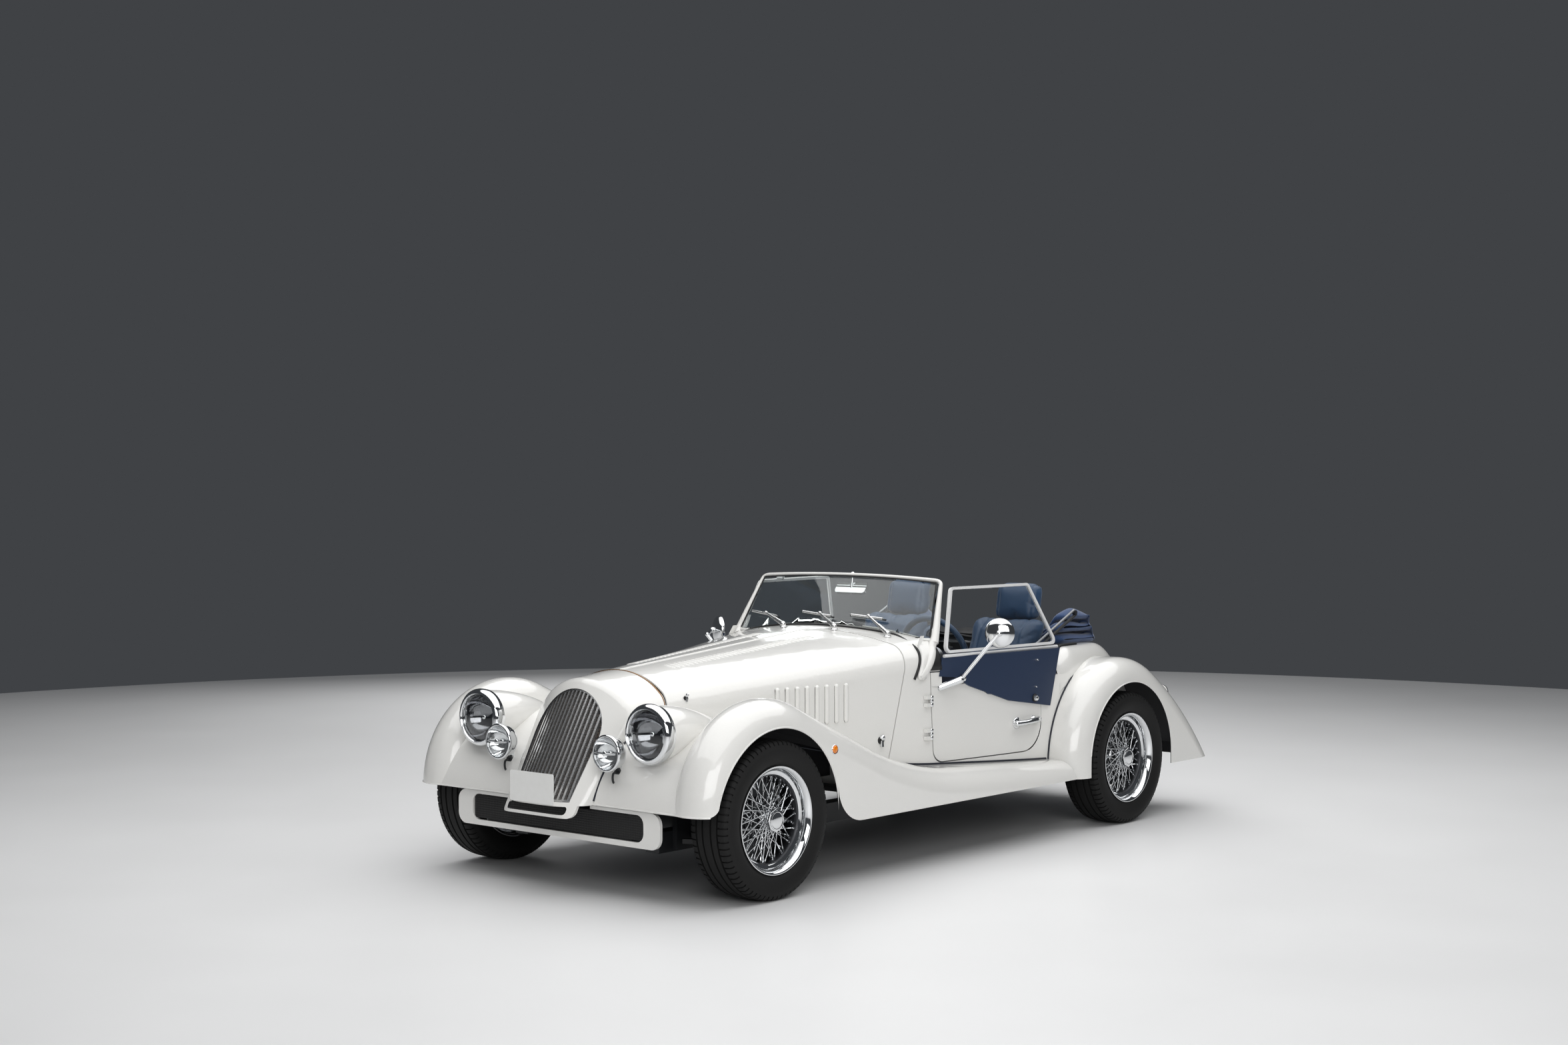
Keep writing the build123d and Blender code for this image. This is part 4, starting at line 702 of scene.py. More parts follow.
def core(side: Side, x0: float, x1: float, a0: float, a1: float, z0: float, z1: float) -> tuple[Vector, Vector]:
    """A box inside a panel, in millimetres and stations, on one side of the car."""
    ends = sorted((side.value * x0, side.value * x1))
    return pt(ends[0], a0, z0), pt(ends[1], a1, z1)


class Coachwork:
    """All the painted pressings."""

    def build(self) -> None:
        """Dress every painted node."""
        both = (Vector((-0.45, 0.05, 0.30)), Vector((0.45, 0.95, 0.66)))
        Pressing("body_tub", PAINT, LINING, both).dress()
        Pressing("cowl", PAINT, UNDERSEAL, (pt(-140, -330, 400), pt(140, 100, 560))).dress()
        Pressing("front_valance", PAINT).dress()
        for side in Side:
            Pressing("front_wing_" + side.word, PAINT, UNDERSEAL, core(side, 560, 700, -180, 1950, 60, 150),
                     core(side, 358, 580, -372, 75, 526, 760)).dress()
            Pressing("rear_wing_" + side.word, PAINT, UNDERSEAL, core(side, 520, 690, 2300, 2800, 120, 330)).dress()
            Pressing("bonnet_" + side.word, PAINT, CHASSIS, core(side, 20, 180, 20, 1050, 200, 620)).dress()
            Pressing("door_" + side.word, PAINT, LINING, core(side, 0, 480, 1350, 1900, 450, 600)).dress()


@dataclass
class WireWheel:
    """One wire wheel with its tyre, disc and cap; sizes in millimetres."""

    side: Side
    axle_y: float
    name: str
    tyre_r: float = 306.0
    tread_half: float = 79.0
    spokes: int = 18
    rim_r: float = 205.0
    well_r: float = 166.0
    cap_r: float = 46.0

    @property
    def centre(self) -> Vector:
        """The wheel's middle."""
        return Vector((self.side.value * WHEEL_X, self.axle_y, AXLE_Z))

    @property
    def axis(self) -> Vector:
        """Outwards along the axle."""
        return Vector((self.side.value, 0, 0))

    def build(self) -> None:
        """Make the tyre, rim, spokes, hub and disc."""
        self.tyre()
        self.rim()
        self.lacing()
        self.hub()
        self.disc()

    def tyre(self) -> None:
        """A round-shouldered tyre with four grooves and shoulder slots."""
        r = self.tyre_r
        half = [
            (r, 0.0), (r, 15.5), (r - 7, 16.5), (r - 7, 23.5), (r - 0.3, 24.5), (r - 0.8, 47.0), (r - 7.5, 48.0),
            (r - 7.5, 55.0), (r - 1.3, 56.0), (r - 2.6, 68.0), (r - 5.0, self.tread_half), (r - 11.0, 86.5),
            (r - 20.0, 91.0), (r - 34.0, 95.0), (r - 35.0, 95.6), (r - 37.0, 95.6), (r - 38.0, 96.0),
            (r - 52.0, 96.6), (r - 66.0, 95.0), (r - 80.0, 90.5), (r - 90.0, 85.0), (r - 93.0, 82.5),
            (r - 97.0, 80.5), (r - 104.0, 78.0), (r - 112.0, 72.0),
        ]
        outline = [(a, -b) for a, b in reversed(half)] + half[1:]
        shape = Shape()
        shape.lathe(outline, self.centre, self.axis, steps=288)
        slots = []
        for face in shape.bm.faces:
            offset = face.calc_center_median() - self.centre
            across = abs(offset.x) * 1000
            out = math.hypot(offset.y, offset.z) * 1000
            turn = int(round(math.degrees(math.atan2(offset.z, offset.y)) / 1.25 + 0.5)) % 4
            if turn == 0 and 56.5 < across < 92 and out > r - 22:
                slots.append(face)
        bmesh.ops.inset_region(shape.bm, faces=slots, thickness=0.0006, depth=-0.0045, use_even_offset=True)
        shape.piece("tyre_" + self.name + "_moulded", TYRE, "wheel_" + self.name, ["tyre_" + self.name], sharp=40)

    def rim(self) -> None:
        """The plated rim with its rolled lips."""
        t = self.rim_r
        well = self.well_r
        outline = [
            (t, 81.0), (t + 2.5, 83.5), (t + 2.0, 86.0), (t - 2.0, 86.6), (t - 6.0, 84.0), (t - 11.0, 77.0),
            (t - 16.0, 70.0), (t - 19.0, 60.0), (t - 20.0, 52.0), (well + 6, 47.0), (well, 40.0), (well - 1, 10.0),
            (well, -30.0), (well + 14, -44.0), (t - 18.0, -60.0), (t - 10.0, -78.0), (t - 1.0, -85.0),
            (t + 2.5, -83.0), (t, -80.0), (t - 6.0, -72.0), (t - 12.0, -50.0), (well + 9, -30.0),
            (well + 8, 36.0), (t - 13.0, 50.0), (t - 7.0, 72.0),
        ]
        shape = Shape()
        for face in shape.lathe(outline, self.centre, self.axis, steps=96, closed=True):
            offset = face.calc_center_median() - self.centre
            # faces inside the well take the dark steel: painted shade behind the spokes
            face.material_index = int(math.hypot(offset.y, offset.z) < (well + 8) / 1000)
        made = shape.piece("wheel_rim_" + self.name, CHROME, "wheel_" + self.name,
                           ["wire_wheel_" + self.name], sharp=50)
        made.data.materials.append(SHADE_DARK_STEEL.material())

    def lacing(self) -> None:
        """Four rows of crossed spokes, each with its nipple at the rim."""
        rows = (
            # hub station, hub radius, rim station, twist in degrees, offset in degrees
            (60.0, 35.0, 33.0, 62.0, 0.0),
            (58.0, 35.0, 26.0, -62.0, 10.0),
            (-6.0, 40.0, 14.0, 46.0, 5.0),
            (-8.0, 40.0, 3.0, -46.0, 15.0),
        )
        shape = Shape()
        for hub_s, hub_r, rim_s, twist, offset in rows:
            for i in range(self.spokes):
                a = math.radians(offset + i * 360 / self.spokes)
                b = a + math.radians(twist)
                start = self.centre + Vector((
                    self.side.value * hub_s, hub_r * math.cos(a), hub_r * math.sin(a))) / 1000
                end = self.centre + Vector((
                    self.side.value * rim_s, self.well_r * math.cos(b), self.well_r * math.sin(b))) / 1000
                way = (end - start).normalized()
                shape.rod(start, end, 0.0022, sides=6)
                shape.rod(end - way * 0.016, end + way * 0.002, 0.0036, 0.0046, sides=6)
                shape.ball(end - way * 0.003, 0.0058, rings=4)
        shape.piece("wheel_spokes_" + self.name, SPOKE_STEEL, "wheel_" + self.name)

    def hub(self) -> None:
        """The splined hub shell and its eight-sided knock-off cap, left bare."""
        shape = Shape()
        shell = [(19, -38), (46, -38), (46, -20), (44, -4), (40, 2), (33, 12), (31, 30), (32, 48), (39, 54),
                 (41, 60), (40, 66), (30, 68), (19, 68)]
        for made in shape.lathe(shell, self.centre, self.axis, steps=48, closed=True):
            # the hub's inner half takes the dark steel: painted shade behind the spokes
            made.material_index = int(self.axis.dot(made.calc_center_median() - self.centre) < 0.0)
        n = self.axis
        face = self.centre + n * 0.067
        turn = n.to_track_quat("Z", "Y").to_matrix().to_4x4()
        made = bmesh.ops.create_cone(shape.bm, cap_ends=True, segments=8, radius1=self.cap_r / 1000,
                                     radius2=self.cap_r / 1000, depth=0.016,
                                     matrix=Matrix.Translation(face + n * 0.008) @ turn)["verts"]
        edges = list({e for v in made for e in v.link_edges})
        bmesh.ops.bevel(shape.bm, geom=edges, offset=0.0025, offset_type="OFFSET", segments=3, profile=0.5,
                        affect="EDGES", material=-1, clamp_overlap=True)
        shape.lathe([(38, 15), (37, 17.5), (33, 19), (31, 18.4), (29, 19.2), (20, 21.6), (8, 22.6), (0, 22.8)],
                    face, n, steps=48)
        hub = shape.piece("wheel_hub_" + self.name, CHROME, "wheel_" + self.name)
        hub.data.materials.append(SHADE_DARK_STEEL.material())

    def disc(self) -> None:
        """The brake disc on its bell."""
        shape = Shape()
        outline = [(20, -40), (137, -40), (138, -39), (138, -33), (120, -32.5), (120, -27.5), (138, -27),
                   (138, -21), (137, -20), (82, -20), (80, -18), (78, -12), (46, -11), (20, -11)]
        shape.lathe(outline, self.centre, self.axis, steps=72, closed=True)
        # the disc's dark steel is painted shade behind the spokes
        shape.piece("brake_disc_" + self.name, SHADE_DARK_STEEL, "wheel_" + self.name)


@dataclass
class Nose:
    """Grille, intakes, lamps and plate; sizes in millimetres."""

    head: tuple[float, float, float] = (469.0, -346.3, 638.0)
    spot: tuple[float, float, float] = (301.0, -416.0, 559.0)
    grille_half: float = 176.0
    grille_arch: float = 600.0
    grille_foot: float = 368.0
    # the opening's lower corners, the slats' place there, their lean in degrees and their bow
    grille_low: float = 366.0
    grille_low_half: float = 160.0
    grille_station: float = -506.0
    grille_lean: float = 29.5
    grille_bow: float = 411.0
    wire_pitch: float = 8.8

    def build(self) -> None:
        """Dress the nose."""
        Pressing("grille", SLAT_STEEL, sharp=40).dress()
        Pressing("front_plate", PLATE).dress()
        self.mesh_behind_grille()
        self.intake_mesh()
        self.lamps()
        for side in Side:
            self.hook(side)

    def grille_point(self, x: float, height: float, deep: float) -> Vector:
        """A point behind the slats on the grille's leaning bow.

        Args:
            x: millimetres to the left.
            height: millimetres above the ground.
            deep: millimetres behind the slats' front.

        Returns:
            The point in the shared frame.
        """
        lean = math.radians(self.grille_lean)
        bow = self.grille_bow - deep
        back = (6 + deep + bow - math.sqrt(bow ** 2 - x ** 2)) / math.cos(lean)
        return pt(x, self.grille_station + (height - self.grille_low) * math.tan(lean) + back, height)

    def half_at(self, height: float) -> float:
        """Half the width of the grille's opening, which widens upward and ends in a round arch.

        Args:
            height: millimetres above the ground.

        Returns:
            The half width in millimetres, 0 above the arch.
        """
        if height > self.grille_arch:
            return math.sqrt(max(0.0, self.grille_half ** 2 - (height - self.grille_arch) ** 2))
        grown = (height - self.grille_low) / (self.grille_arch - self.grille_low)
        return self.grille_low_half + (self.grille_half - self.grille_low_half) * grown

    def mesh_behind_grille(self) -> None:
        """Woven wires on the slant behind the slats, and a dark baffle behind them."""
        wires = Shape()
        span = int(760 / self.wire_pitch)
        for slant in (-1, 1):
            for i in range(-span, span):
                run = []
                for j in range(0, 68):
                    height = self.grille_foot + j * 6.0
                    x = i * self.wire_pitch * 1.2 + slant * (height - 570) * 0.8
                    if abs(x) < self.half_at(height):
                        run.append(self.grille_point(x, height, 14.0 + slant * 1.0))
                for first, last in zip(run[:-1:2], run[2::2]):
                    wires.rod(first, last, 0.0015, sides=4)
        wires.piece("grille_wires", BRIGHT_WIRE)
        shape = Shape()
        bmesh.ops.create_grid(shape.bm, x_segments=24, y_segments=16, size=0.5)
        for vert in shape.bm.verts:
            height = self.grille_foot + (vert.co.y + 0.5) * 400
            half = self.half_at(height)
            x = max(-half, min(half, vert.co.x * 2 * self.grille_half))
            vert.co = self.grille_point(x, height, 34.0)
        bmesh.ops.remove_doubles(shape.bm, verts=shape.bm.verts, dist=1e-6)
        thicken(shape.piece("grille_baffle", CHASSIS), 0.002)

    def intake_mesh(self) -> None:
        """The wire panel in the lower intake."""
        shape = Shape()
        shape.block(pt(-469, -385, 240), pt(469, -380, 334), 0.002)
        shape.piece("intake_wire_panel", WIRE_MESH, stands_for=["valance_mesh"])

    def lamps(self) -> None:
        """Head and spot lamps: bright rims, bowls, bulbs and domed glasses."""
        bright = Shape()
        bowls = Shape()
        glass = Shape()
        ahead = Vector((0, -1, 0))
        rim = [(93, -2), (107, -2), (107, -24), (110, -25), (112.5, -22), (113, -14), (115.5, -10), (117, 0),
               (116.5, 10), (114, 18), (109, 24), (103, 27.5), (98, 28), (95, 25), (93.2, 19)]
        bowl = [(94.5, 16), (93, 8), (88, -8), (78, -26), (62, -46), (44, -61), (24, -71), (0, -75)]
        bulb = [(0, -6), (7, -7.5), (11, -12), (12.5, -20), (12, -28), (8, -30), (0, -30)]
        for side in Side:
            x, station, z = self.head
            seat = pt(side.value * x, station, z)
            bright.lathe(rim, seat, ahead, steps=96, closed=True)
            bowls.lathe(bowl, seat, ahead, steps=72)
            bright.lathe(bulb, seat, ahead, steps=24)
            bright.lathe([(17, -74), (17, -66), (10, -62), (6, -30)], seat, ahead, steps=24)
            for sign in (-1, 1):
                spot = seat + Vector((sign * 0.083, -0.010, 0))
                bright.block(spot + Vector((-0.006, -0.004, -0.027)), spot + Vector((0.006, 0.004, 0.027)), 0.002)
            self.dome(glass, seat + ahead * 0.016, 94.0, 19.0)
            self.spot_lamp(side, bright, glass)
        bright.piece("lamp_rims", CHROME, stands_for=["lamp_shells"], sharp=45)
        # the head lamp bowls are darkened mirror: painted shade
        bowls.piece("lamp_bowls", SHADE_DARK_MIRROR)
        glass.piece("lamp_glasses", LAMP_GLASS, stands_for=["lamp_lenses"])

    def dome(self, glass: Shape, seat: Vector, r: float, bulge: float) -> None:
        """A domed glass.

        Args:
            glass: the shape to add to.
            seat: the middle of its edge.
            r: its radius in millimetres.
            bulge: how far it stands out in millimetres.
        """
        outer = [(r * i / 10, bulge * (1 - (i / 10) ** 2)) for i in range(11)]
        inner = [(a, b - 3) for a, b in reversed(outer)]
        glass.lathe(outer + inner, seat, Vector((0, -1, 0)), steps=64)

    def spot_lamp(self, side: Side, bright: Shape, glass: Shape) -> None:
        """One spot lamp on its stalk, with a winged bar across its glass.

        Args:
            side: the side of the car.
            bright: the plated shape to add to.
            glass: the glass shape to add to.
        """
        ahead = Vector((0, -1, 0))
        x, station, z = self.spot
        seat = pt(side.value * x, station, z)
        shell = [(61.5, -4), (62.5, -0.5), (66, 0.8), (70, -1), (72, -6), (71.5, -14), (69, -20), (67.5, -26),
                 (66, -36), (60, -52), (48, -66), (26, -77), (0, -81)]
        bright.lathe(shell, seat, ahead, steps=72)
        bright.lathe([(62, -5), (58, -16), (48, -34), (34, -48), (16, -57), (0, -60)], seat, ahead, steps=72)
        bright.ball(seat - ahead * 0.030, 0.011)
        low = seat - ahead * 0.052 - Vector((0, 0, 0.045))
        hit, _ = Skin("front_wing_" + side.word).hit(low - Vector((0, 0, 0.015)), Vector((0, 1, 0)))
        bright.rod(low, hit - ahead * 0.006, 0.010, sides=16)
        self.dome(glass, seat - ahead * 0.008, 61.0, 9.0)
        bar = seat + ahead * 0.0045
        for sign in (-1, 1):
            end = bar + Vector((sign * 0.055, 0.004, 0))
            bright.rod(bar, end, 0.0056, 0.0026, sides=12)
        bright.ball(bar, 0.011, (1.0, 0.6, 1.0))

    def hook(self, side: Side) -> None:
        """The black towing hook under a spot lamp.

        Args:
            side: the side of the car.
        """
        start, _ = Skin("front_wing_" + side.word).hit(pt(side.value * 301, -700, 484), Vector((0, 1, 0)))
        shape = Shape()
        shape.rod(start + Vector((0, 0.004, 0)), start + Vector((0, -0.006, 0)), 0.014, sides=16)
        bend = ((0.0, 0.0), (-0.024, 0.0), (-0.030, -0.018), (-0.026, -0.040), (-0.012, -0.044), (-0.010, -0.030))
        shape.sweep([start + Vector((0, y, z)) for y, z in bend], 0.0045)
        shape.piece("tow_hook_" + side.word, CHASSIS)


@dataclass
class Screen:
    """Windscreen glass, its hoop and rubber, wipers and the inside mirror; sizes in millimetres."""

    station: float = 1262.0
    height: float = 915.0
    lean: float = 35.4
    foot_half: float = 538.0
    head_half: float = 502.0
    bow_low: float = 66.0
    bow_high: float = 13.0
    spread_low: float = 22.0
    spread_high: float = 4.0
    # pivot's place and station, the blade joint's place on the pane, and how far the blade reaches beyond it
    wiper_at: tuple[tuple[float, float, float, float, float], ...] = (
        (-159, 1168, -372, 72, 104), (132, 1168, -51, 90, 112), (384, 1222, 212, 86, 102))

    def bowed(self, place: Vector) -> Vector:
        """Bow the flat screen: its corners stand further back and lower ones further out.

        Args:
            place: a point on the flat screen.

        Returns:
            The point on the bowed screen.
        """
        out = place.x / 0.518
        up = min(1.0, max(0.0, (place.z - 0.905) / 0.280))
        share = min(1.2, out * out)
        return place + Vector((
            out * (self.spread_low * (1 - up) + self.spread_high * up),
            share * (self.bow_low * (1 - up) + self.bow_high * up),
            up * (12.0 * share - 6.0 * (1 - share)),
        )) / 1000

    def on_pane(self, u: float, v: float, out: float) -> Vector:
        """A point by width and height on the pane, moved outwards.

        Args:
            u: millimetres to the left.
            v: millimetres up the pane.
            out: millimetres ahead of the pane's middle.

        Returns:
            The point in the shared frame.
        """
        a = math.radians(self.lean)
        along = self.station + v * math.sin(a) - out * math.cos(a)
        return self.bowed(pt(u, along, self.height + v * math.cos(a) + out * math.sin(a)))

    def build(self) -> None:
        """Dress the screen."""
        self.pane()
        self.hoop()
        Pressing("interior_mirror", CHROME).dress()
        self.rubber()
        self.wipers()

    def pane(self) -> None:
        """The glass with its bow, cut from the flat one."""
        shape = Shape()
        shape.take("windscreen_glass")
        cuts = [(Vector((x / 1000, 0, 0)), Vector((1, 0, 0))) for x in range(-480, 481, 60)]
        cuts += [(Vector((0, 0, z / 1000)), Vector((0, 0, 1))) for z in range(930, 1180, 50)]
        for place, normal in cuts:
            bmesh.ops.bisect_plane(shape.bm, geom=shape.bm.verts[:] + shape.bm.edges[:] + shape.bm.faces[:],
                                   plane_co=place, plane_no=normal, dist=1e-5)
        for vert in shape.bm.verts:
            vert.co = self.bowed(vert.co)
        shape.piece("windscreen_pane", GLASS, stands_for=["windscreen_glass"])

    def hoop(self) -> None:
        """The painted frame: a slim header, posts that thicken downwards, a foot rail and the legs."""
        shape = Shape()
        shape.take("windscreen_frame")
        geom = shape.bm.verts[:] + shape.bm.edges[:] + shape.bm.faces[:]
        bmesh.ops.bisect_plane(shape.bm, geom=geom, plane_co=(0, 0, 0.926), plane_no=(0, 0, 1), dist=1e-5)
        loose = [v for v in shape.bm.verts if v.co.z > 0.9261 or abs(v.co.x) < 0.534]
        bmesh.ops.delete(shape.bm, geom=loose, context="VERTS")
        post = ((-26, 2.05), (30, 1.95), (120, 1.6), (200, 1.3), (250, 1.1), (272, 1.0))
        line = []
        swell = []
        for v, factor in post:
            half = self.foot_half + (self.head_half - self.foot_half) * v / 280
            line.append(self.on_pane(half, v, 0))
            swell.append(factor)
        for i in range(-11, 12):
            share = -i / 11.4
            line.append(self.on_pane(self.head_half * share, 282 + 36 * (1 - share * share), 0))
            swell.append(1.0)
        for v, factor in reversed(post):
            half = self.foot_half + (self.head_half - self.foot_half) * v / 280
            line.append(self.on_pane(-half, v, 0))
            swell.append(factor)
        shape.sweep(line, 0.0088, swell)
        shape.sweep([self.on_pane(self.foot_half * i / 12, -14, 0) for i in range(-12, 13)], 0.0095)
        leg = Skin("windscreen_frame")
        for side in Side:
            foot = [self.on_pane(side.value * (self.foot_half - 8), 40, 0),
                    self.on_pane(side.value * self.foot_half, 0, 0)]
            for station, z in ((1304, 884), (1290, 860), (1268, 826), (1243, 790), (1222, 766), (1206, 754)):
                spot, normal = leg.side(side, station, z)
                foot.append(spot - normal * 0.010)
            shape.sweep(foot, 0.0170, (1.0, 1.05, 1.15, 1.2, 1.2, 1.15, 1.0, 0.85))
        shape.piece("windscreen_hoop", PAINT, stands_for=["windscreen_frame"], sharp=40)

    def rubber(self) -> None:
        """The black seal round the pane and the bead under the frame."""
        shape = Shape()
        foot, head, low, high, mid = 520.0, 486.0, -4.0, 268.0, 306.0
        across = [i / 10 for i in range(-10, 11)]
        upper = [self.on_pane(head * u, high + (mid - high) * (1 - u * u), 8) for u in across]
        shape.sweep(upper, 0.0035)
        for sign in (-1, 1):
            ends = ((foot, low), ((foot + head) / 2, (low + high) / 2), (head, high))
            shape.sweep([self.on_pane(sign * u, v, 8) for u, v in ends], 0.0035)
        scuttle = Skin("body_tub")
        line = []
        for u in across[3:-3]:
            above = self.on_pane(self.foot_half * u, -14, 12)
            spot, normal = scuttle.hit(above + Vector((0, 0, 0.2)), Vector((0, 0, -1)))
            line.append(spot + normal * 0.002)
        screws = Shape()
        edges = {}
        fall = ((1230, 880), (1228, 862), (1222, 842), (1213, 820), (1201, 794), (1188, 768), (1177, 746))
        for side in Side:
            edges[side] = []
            for station, z in fall:
                spot, normal = scuttle.side(side, station, z)
                edges[side].append(spot + normal * 0.002)
            # a dark sheet between leg and side screen: painted shade for the gap
            self.gap_shade_sheet(side, scuttle)
            spot, normal = Skin("windscreen_frame").side(side, 1208, 758)
            screws.lathe([(7, -1), (7, 0.8), (4, 2.2), (0, 2.6)], spot, normal, steps=20)
        shape.sweep(edges[Side.RIGHT][::-1] + line + edges[Side.LEFT], 0.006)
        shape.piece("screen_seal", SEAL)
        screws.piece("screen_leg_screws", CHROME)

    def gap_shade_sheet(self, side: Side, scuttle: Skin) -> None:
        """A dark rubber sheet laid on the scuttle between a screen leg and the side screen: painted shade standing
        for the dark gap there.

        Args:
            side: the side of the car.
            scuttle: the body's skin.
        """
        shape = Shape()
        rows = []
        front = ((779, 1254), (800, 1268), (825, 1286), (850, 1304), (866, 1312), (882, 1317), (898, 1309),
                 (912, 1302))
        for z, first in front:
            row = []
            for share in (0.0, 0.25, 0.5, 0.75, 1.0):
                spot, normal = scuttle.side(side, first + (1329 - first) * share, z)
                row.append(shape.bm.verts.new(spot + normal * 0.0025))
            rows.append(row)
        shape.panel(rows)
        thicken(shape.piece("screen_flap_" + side.word, SEAL), 0.003, 0.0)

    def wipers(self) -> None:
        """Three wipers, each with a pivot boss, a tapering arm and a bridged blade."""
        metal = Shape()
        soft = Shape()
        scuttle = Skin("body_tub")
        for x, station, u, v, reach in self.wiper_at:
            foot, normal = scuttle.top(x, station)
            metal.lathe([(0, 0), (16, 0), (16, 4), (12, 8), (10, 12), (0, 14)], foot, normal, steps=20)
            head = foot + normal * 0.016
            metal.ball(head, 0.0130)
            tip = self.on_pane(u, v, 24)
            near = self.on_pane(u - reach, v + 4, 24)
            far = self.on_pane(u + 190 - reach, v - 14, 24)
            metal.rod(head, head.lerp(tip, 0.45), 0.0105, 0.0085, sides=14)
            metal.rod(head.lerp(tip, 0.43), tip, 0.0062, 0.0052, sides=12)
            metal.rod(near.lerp(far, 0.06), far.lerp(near, 0.06), 0.0056, sides=12)
            metal.ball(tip, 0.0085)
            back = self.on_pane(0, 0, -9) - self.on_pane(0, 0, 0)
            soft.rod(near + back, far + back, 0.0038, sides=8)
            for share in (0.08, 0.36, 0.64, 0.92):
                spot = near.lerp(far, share)
                metal.rod(spot, spot + back, 0.0028, sides=6)
        metal.piece("wiper_arms", SLAT_STEEL, stands_for=["wipers"])
        soft.piece("wiper_rubbers", SEAL)


def plain(node: str, finish: Finish) -> None:
    """Give a CAD node that keeps its shape a better finish.

    Args:
        node: the node's name.
        finish: the finish it gets.
    """
    mesh = frame["nodes"][node].data
    mesh.materials.clear()
    mesh.materials.append(finish.material())


@dataclass
class DoorFittings:
    """Side screen, mirror and handle of one door; places in millimetres."""

    side: Side
    # each stud's station, height and radius
    studs: tuple[tuple[float, float, float], ...] = (
        (1453, 735, 13), (1941, 617, 13), (1951, 788, 5), (1941, 668, 5))
    hinge_at: tuple[float, float] = (591.0, 1262.0)
    hinge_z: tuple[float, ...] = (508.0, 650.0)

    def build(self) -> None:
        """Dress one door."""
        word = self.side.word
        Pressing("side_screen_frame_" + word, ANODISED, slim_mm=3.6).dress()
        plain("side_screen_glass_" + word, PANE)
        Pressing("side_screen_panel_" + word, VINYL).dress()
        self.knobs()
        self.rail()
        self.handle()
        self.mirror()
        self.hinges()

    def knobs(self) -> None:
        """Fixing knobs on their black bases and studs on the side screen's panel."""
        skin = Skin("side_screen_panel_" + self.side.word, "door_" + self.side.word)
        shape = Shape()
        bases = Shape()
        for station, z, r in self.studs:
            spot, normal = skin.side(self.side, station, z)
            if r > 10:
                bases.lathe([(0, 0), (r + 5, 0), (r + 5, 4), (r + 2, 7), (0, 7)], spot, normal, steps=24)
                spot = spot + normal * 0.006
            knob = [(0, -1), (r, -1), (r, 1.5), (r * 0.9, 4), (r * 0.85, 9), (r * 0.6, 12), (0, 13.5)]
            shape.lathe(knob, spot, normal, steps=24)
        shape.piece("side_screen_knobs_" + self.side.word, CHROME, "door_body_" + self.side.word)
        bases.piece("side_screen_knob_bases_" + self.side.word, SEAL, "door_body_" + self.side.word)

    def rail(self) -> None:
        """The second rail between the side screen and its panel."""
        shape = Shape()
        start = pt(self.side.value * 603, 1336, 838)
        end = pt(self.side.value * 652, 2136, 838)
        shape.rod(start, end, 0.0072, sides=16)
        shape.piece("side_screen_rail_" + self.side.word, ANODISED, "door_body_" + self.side.word)

    def handle(self) -> None:
        """A pull handle: two round seats, posts and a bowed grip."""
        skin = Skin("door_" + self.side.word)
        out = Vector((self.side.value, 0, 0))
        shape = Shape()
        line = []
        grip = ((1806, 512, 17), (1822, 513, 23), (1850, 514, 26), (1884, 516, 27), (1918, 518, 26), (1946, 519, 23),
                (1962, 520, 17))
        for station, z, stand in grip:
            spot, _ = skin.side(self.side, station, z)
            line.append(spot + out * (stand / 1000))
        shape.sweep(line, 0.0135)
        shape.ball(line[0], 0.0145)
        shape.ball(line[-1], 0.0145)
        for station, z, wide in ((1824, 513, 27), (1944, 519, 20)):
            spot, normal = skin.side(self.side, station, z)
            shape.lathe([(0, 0), (wide, 0), (wide, 3), (wide - 4, 7), (12, 11), (10, 22)], spot, normal, steps=32)
        shape.piece("door_pull_" + self.side.word, CHROME, "door_body_" + self.side.word,
                    ["door_handle_" + self.side.word], sharp=45)

    def mirror(self) -> None:
        """The door mirror: a bullet base, a slanting stay and a round domed head turned to the driver."""
        word = self.side.word
        sign = self.side.value
        base, _ = Skin("door_" + word).side(self.side, 1326, 702)
        near = self.side is Side.LEFT
        knee = pt(sign * 648, 1394 if near else 1352, 735)
        head = pt(758, 1530, 934) if near else pt(-770, 1412, 888)
        shape = Shape()
        shape.rod(base - (knee - base) * 0.04, knee, 0.0150, 0.0165, sides=32)
        shape.ball(base, 0.0150)
        shape.ball(knee, 0.0165)
        elbow = knee if near else pt(-735, 1296, 874)
        if not near:
            shape.rod(knee, elbow, 0.0090, 0.0085, sides=20)
        shape.ball(elbow, 0.0095)
        glass = Vector((sign * -0.5, 0.86, 0.0)).normalized()
        shape.rod(elbow, head - glass * 0.030, 0.0090, 0.0075, sides=20)
        shape.ball(head - glass * 0.029, 0.0135)
        bowl = [(0, 13), (58, 13), (61, 14.5), (64.5, 12), (65, 4), (63, -4), (56, -11), (43, -17), (26, -21),
                (14, -22.5), (12, -28), (0, -29)]
        shape.lathe(bowl, head, glass, steps=72)
        shape.piece("round_mirror_" + word, CHROME, "door_body_" + word, ["door_mirror_" + word], sharp=45)

    def hinges(self) -> None:
        """Bright sleeves on the hinge barrels, fixed ones and moving ones."""
        fixed = Shape()
        moving = Shape()
        x, station = self.hinge_at
        for z in self.hinge_z:
            for shape, middle, half in ((moving, z, 7.0), (fixed, z - 16, 7.4), (fixed, z + 16, 7.4)):
                shape.lathe([(0, -half), (8.6, -half), (9.0, -half + 1), (9.0, half - 1), (8.6, half), (0, half)],
                            pt(self.side.value * x, station, middle), Vector((0, 0, 1)), steps=24)
        fixed.piece("hinge_sleeves_" + self.side.word, CHROME)
        moving.piece("door_hinge_sleeves_" + self.side.word, CHROME, "door_body_" + self.side.word)


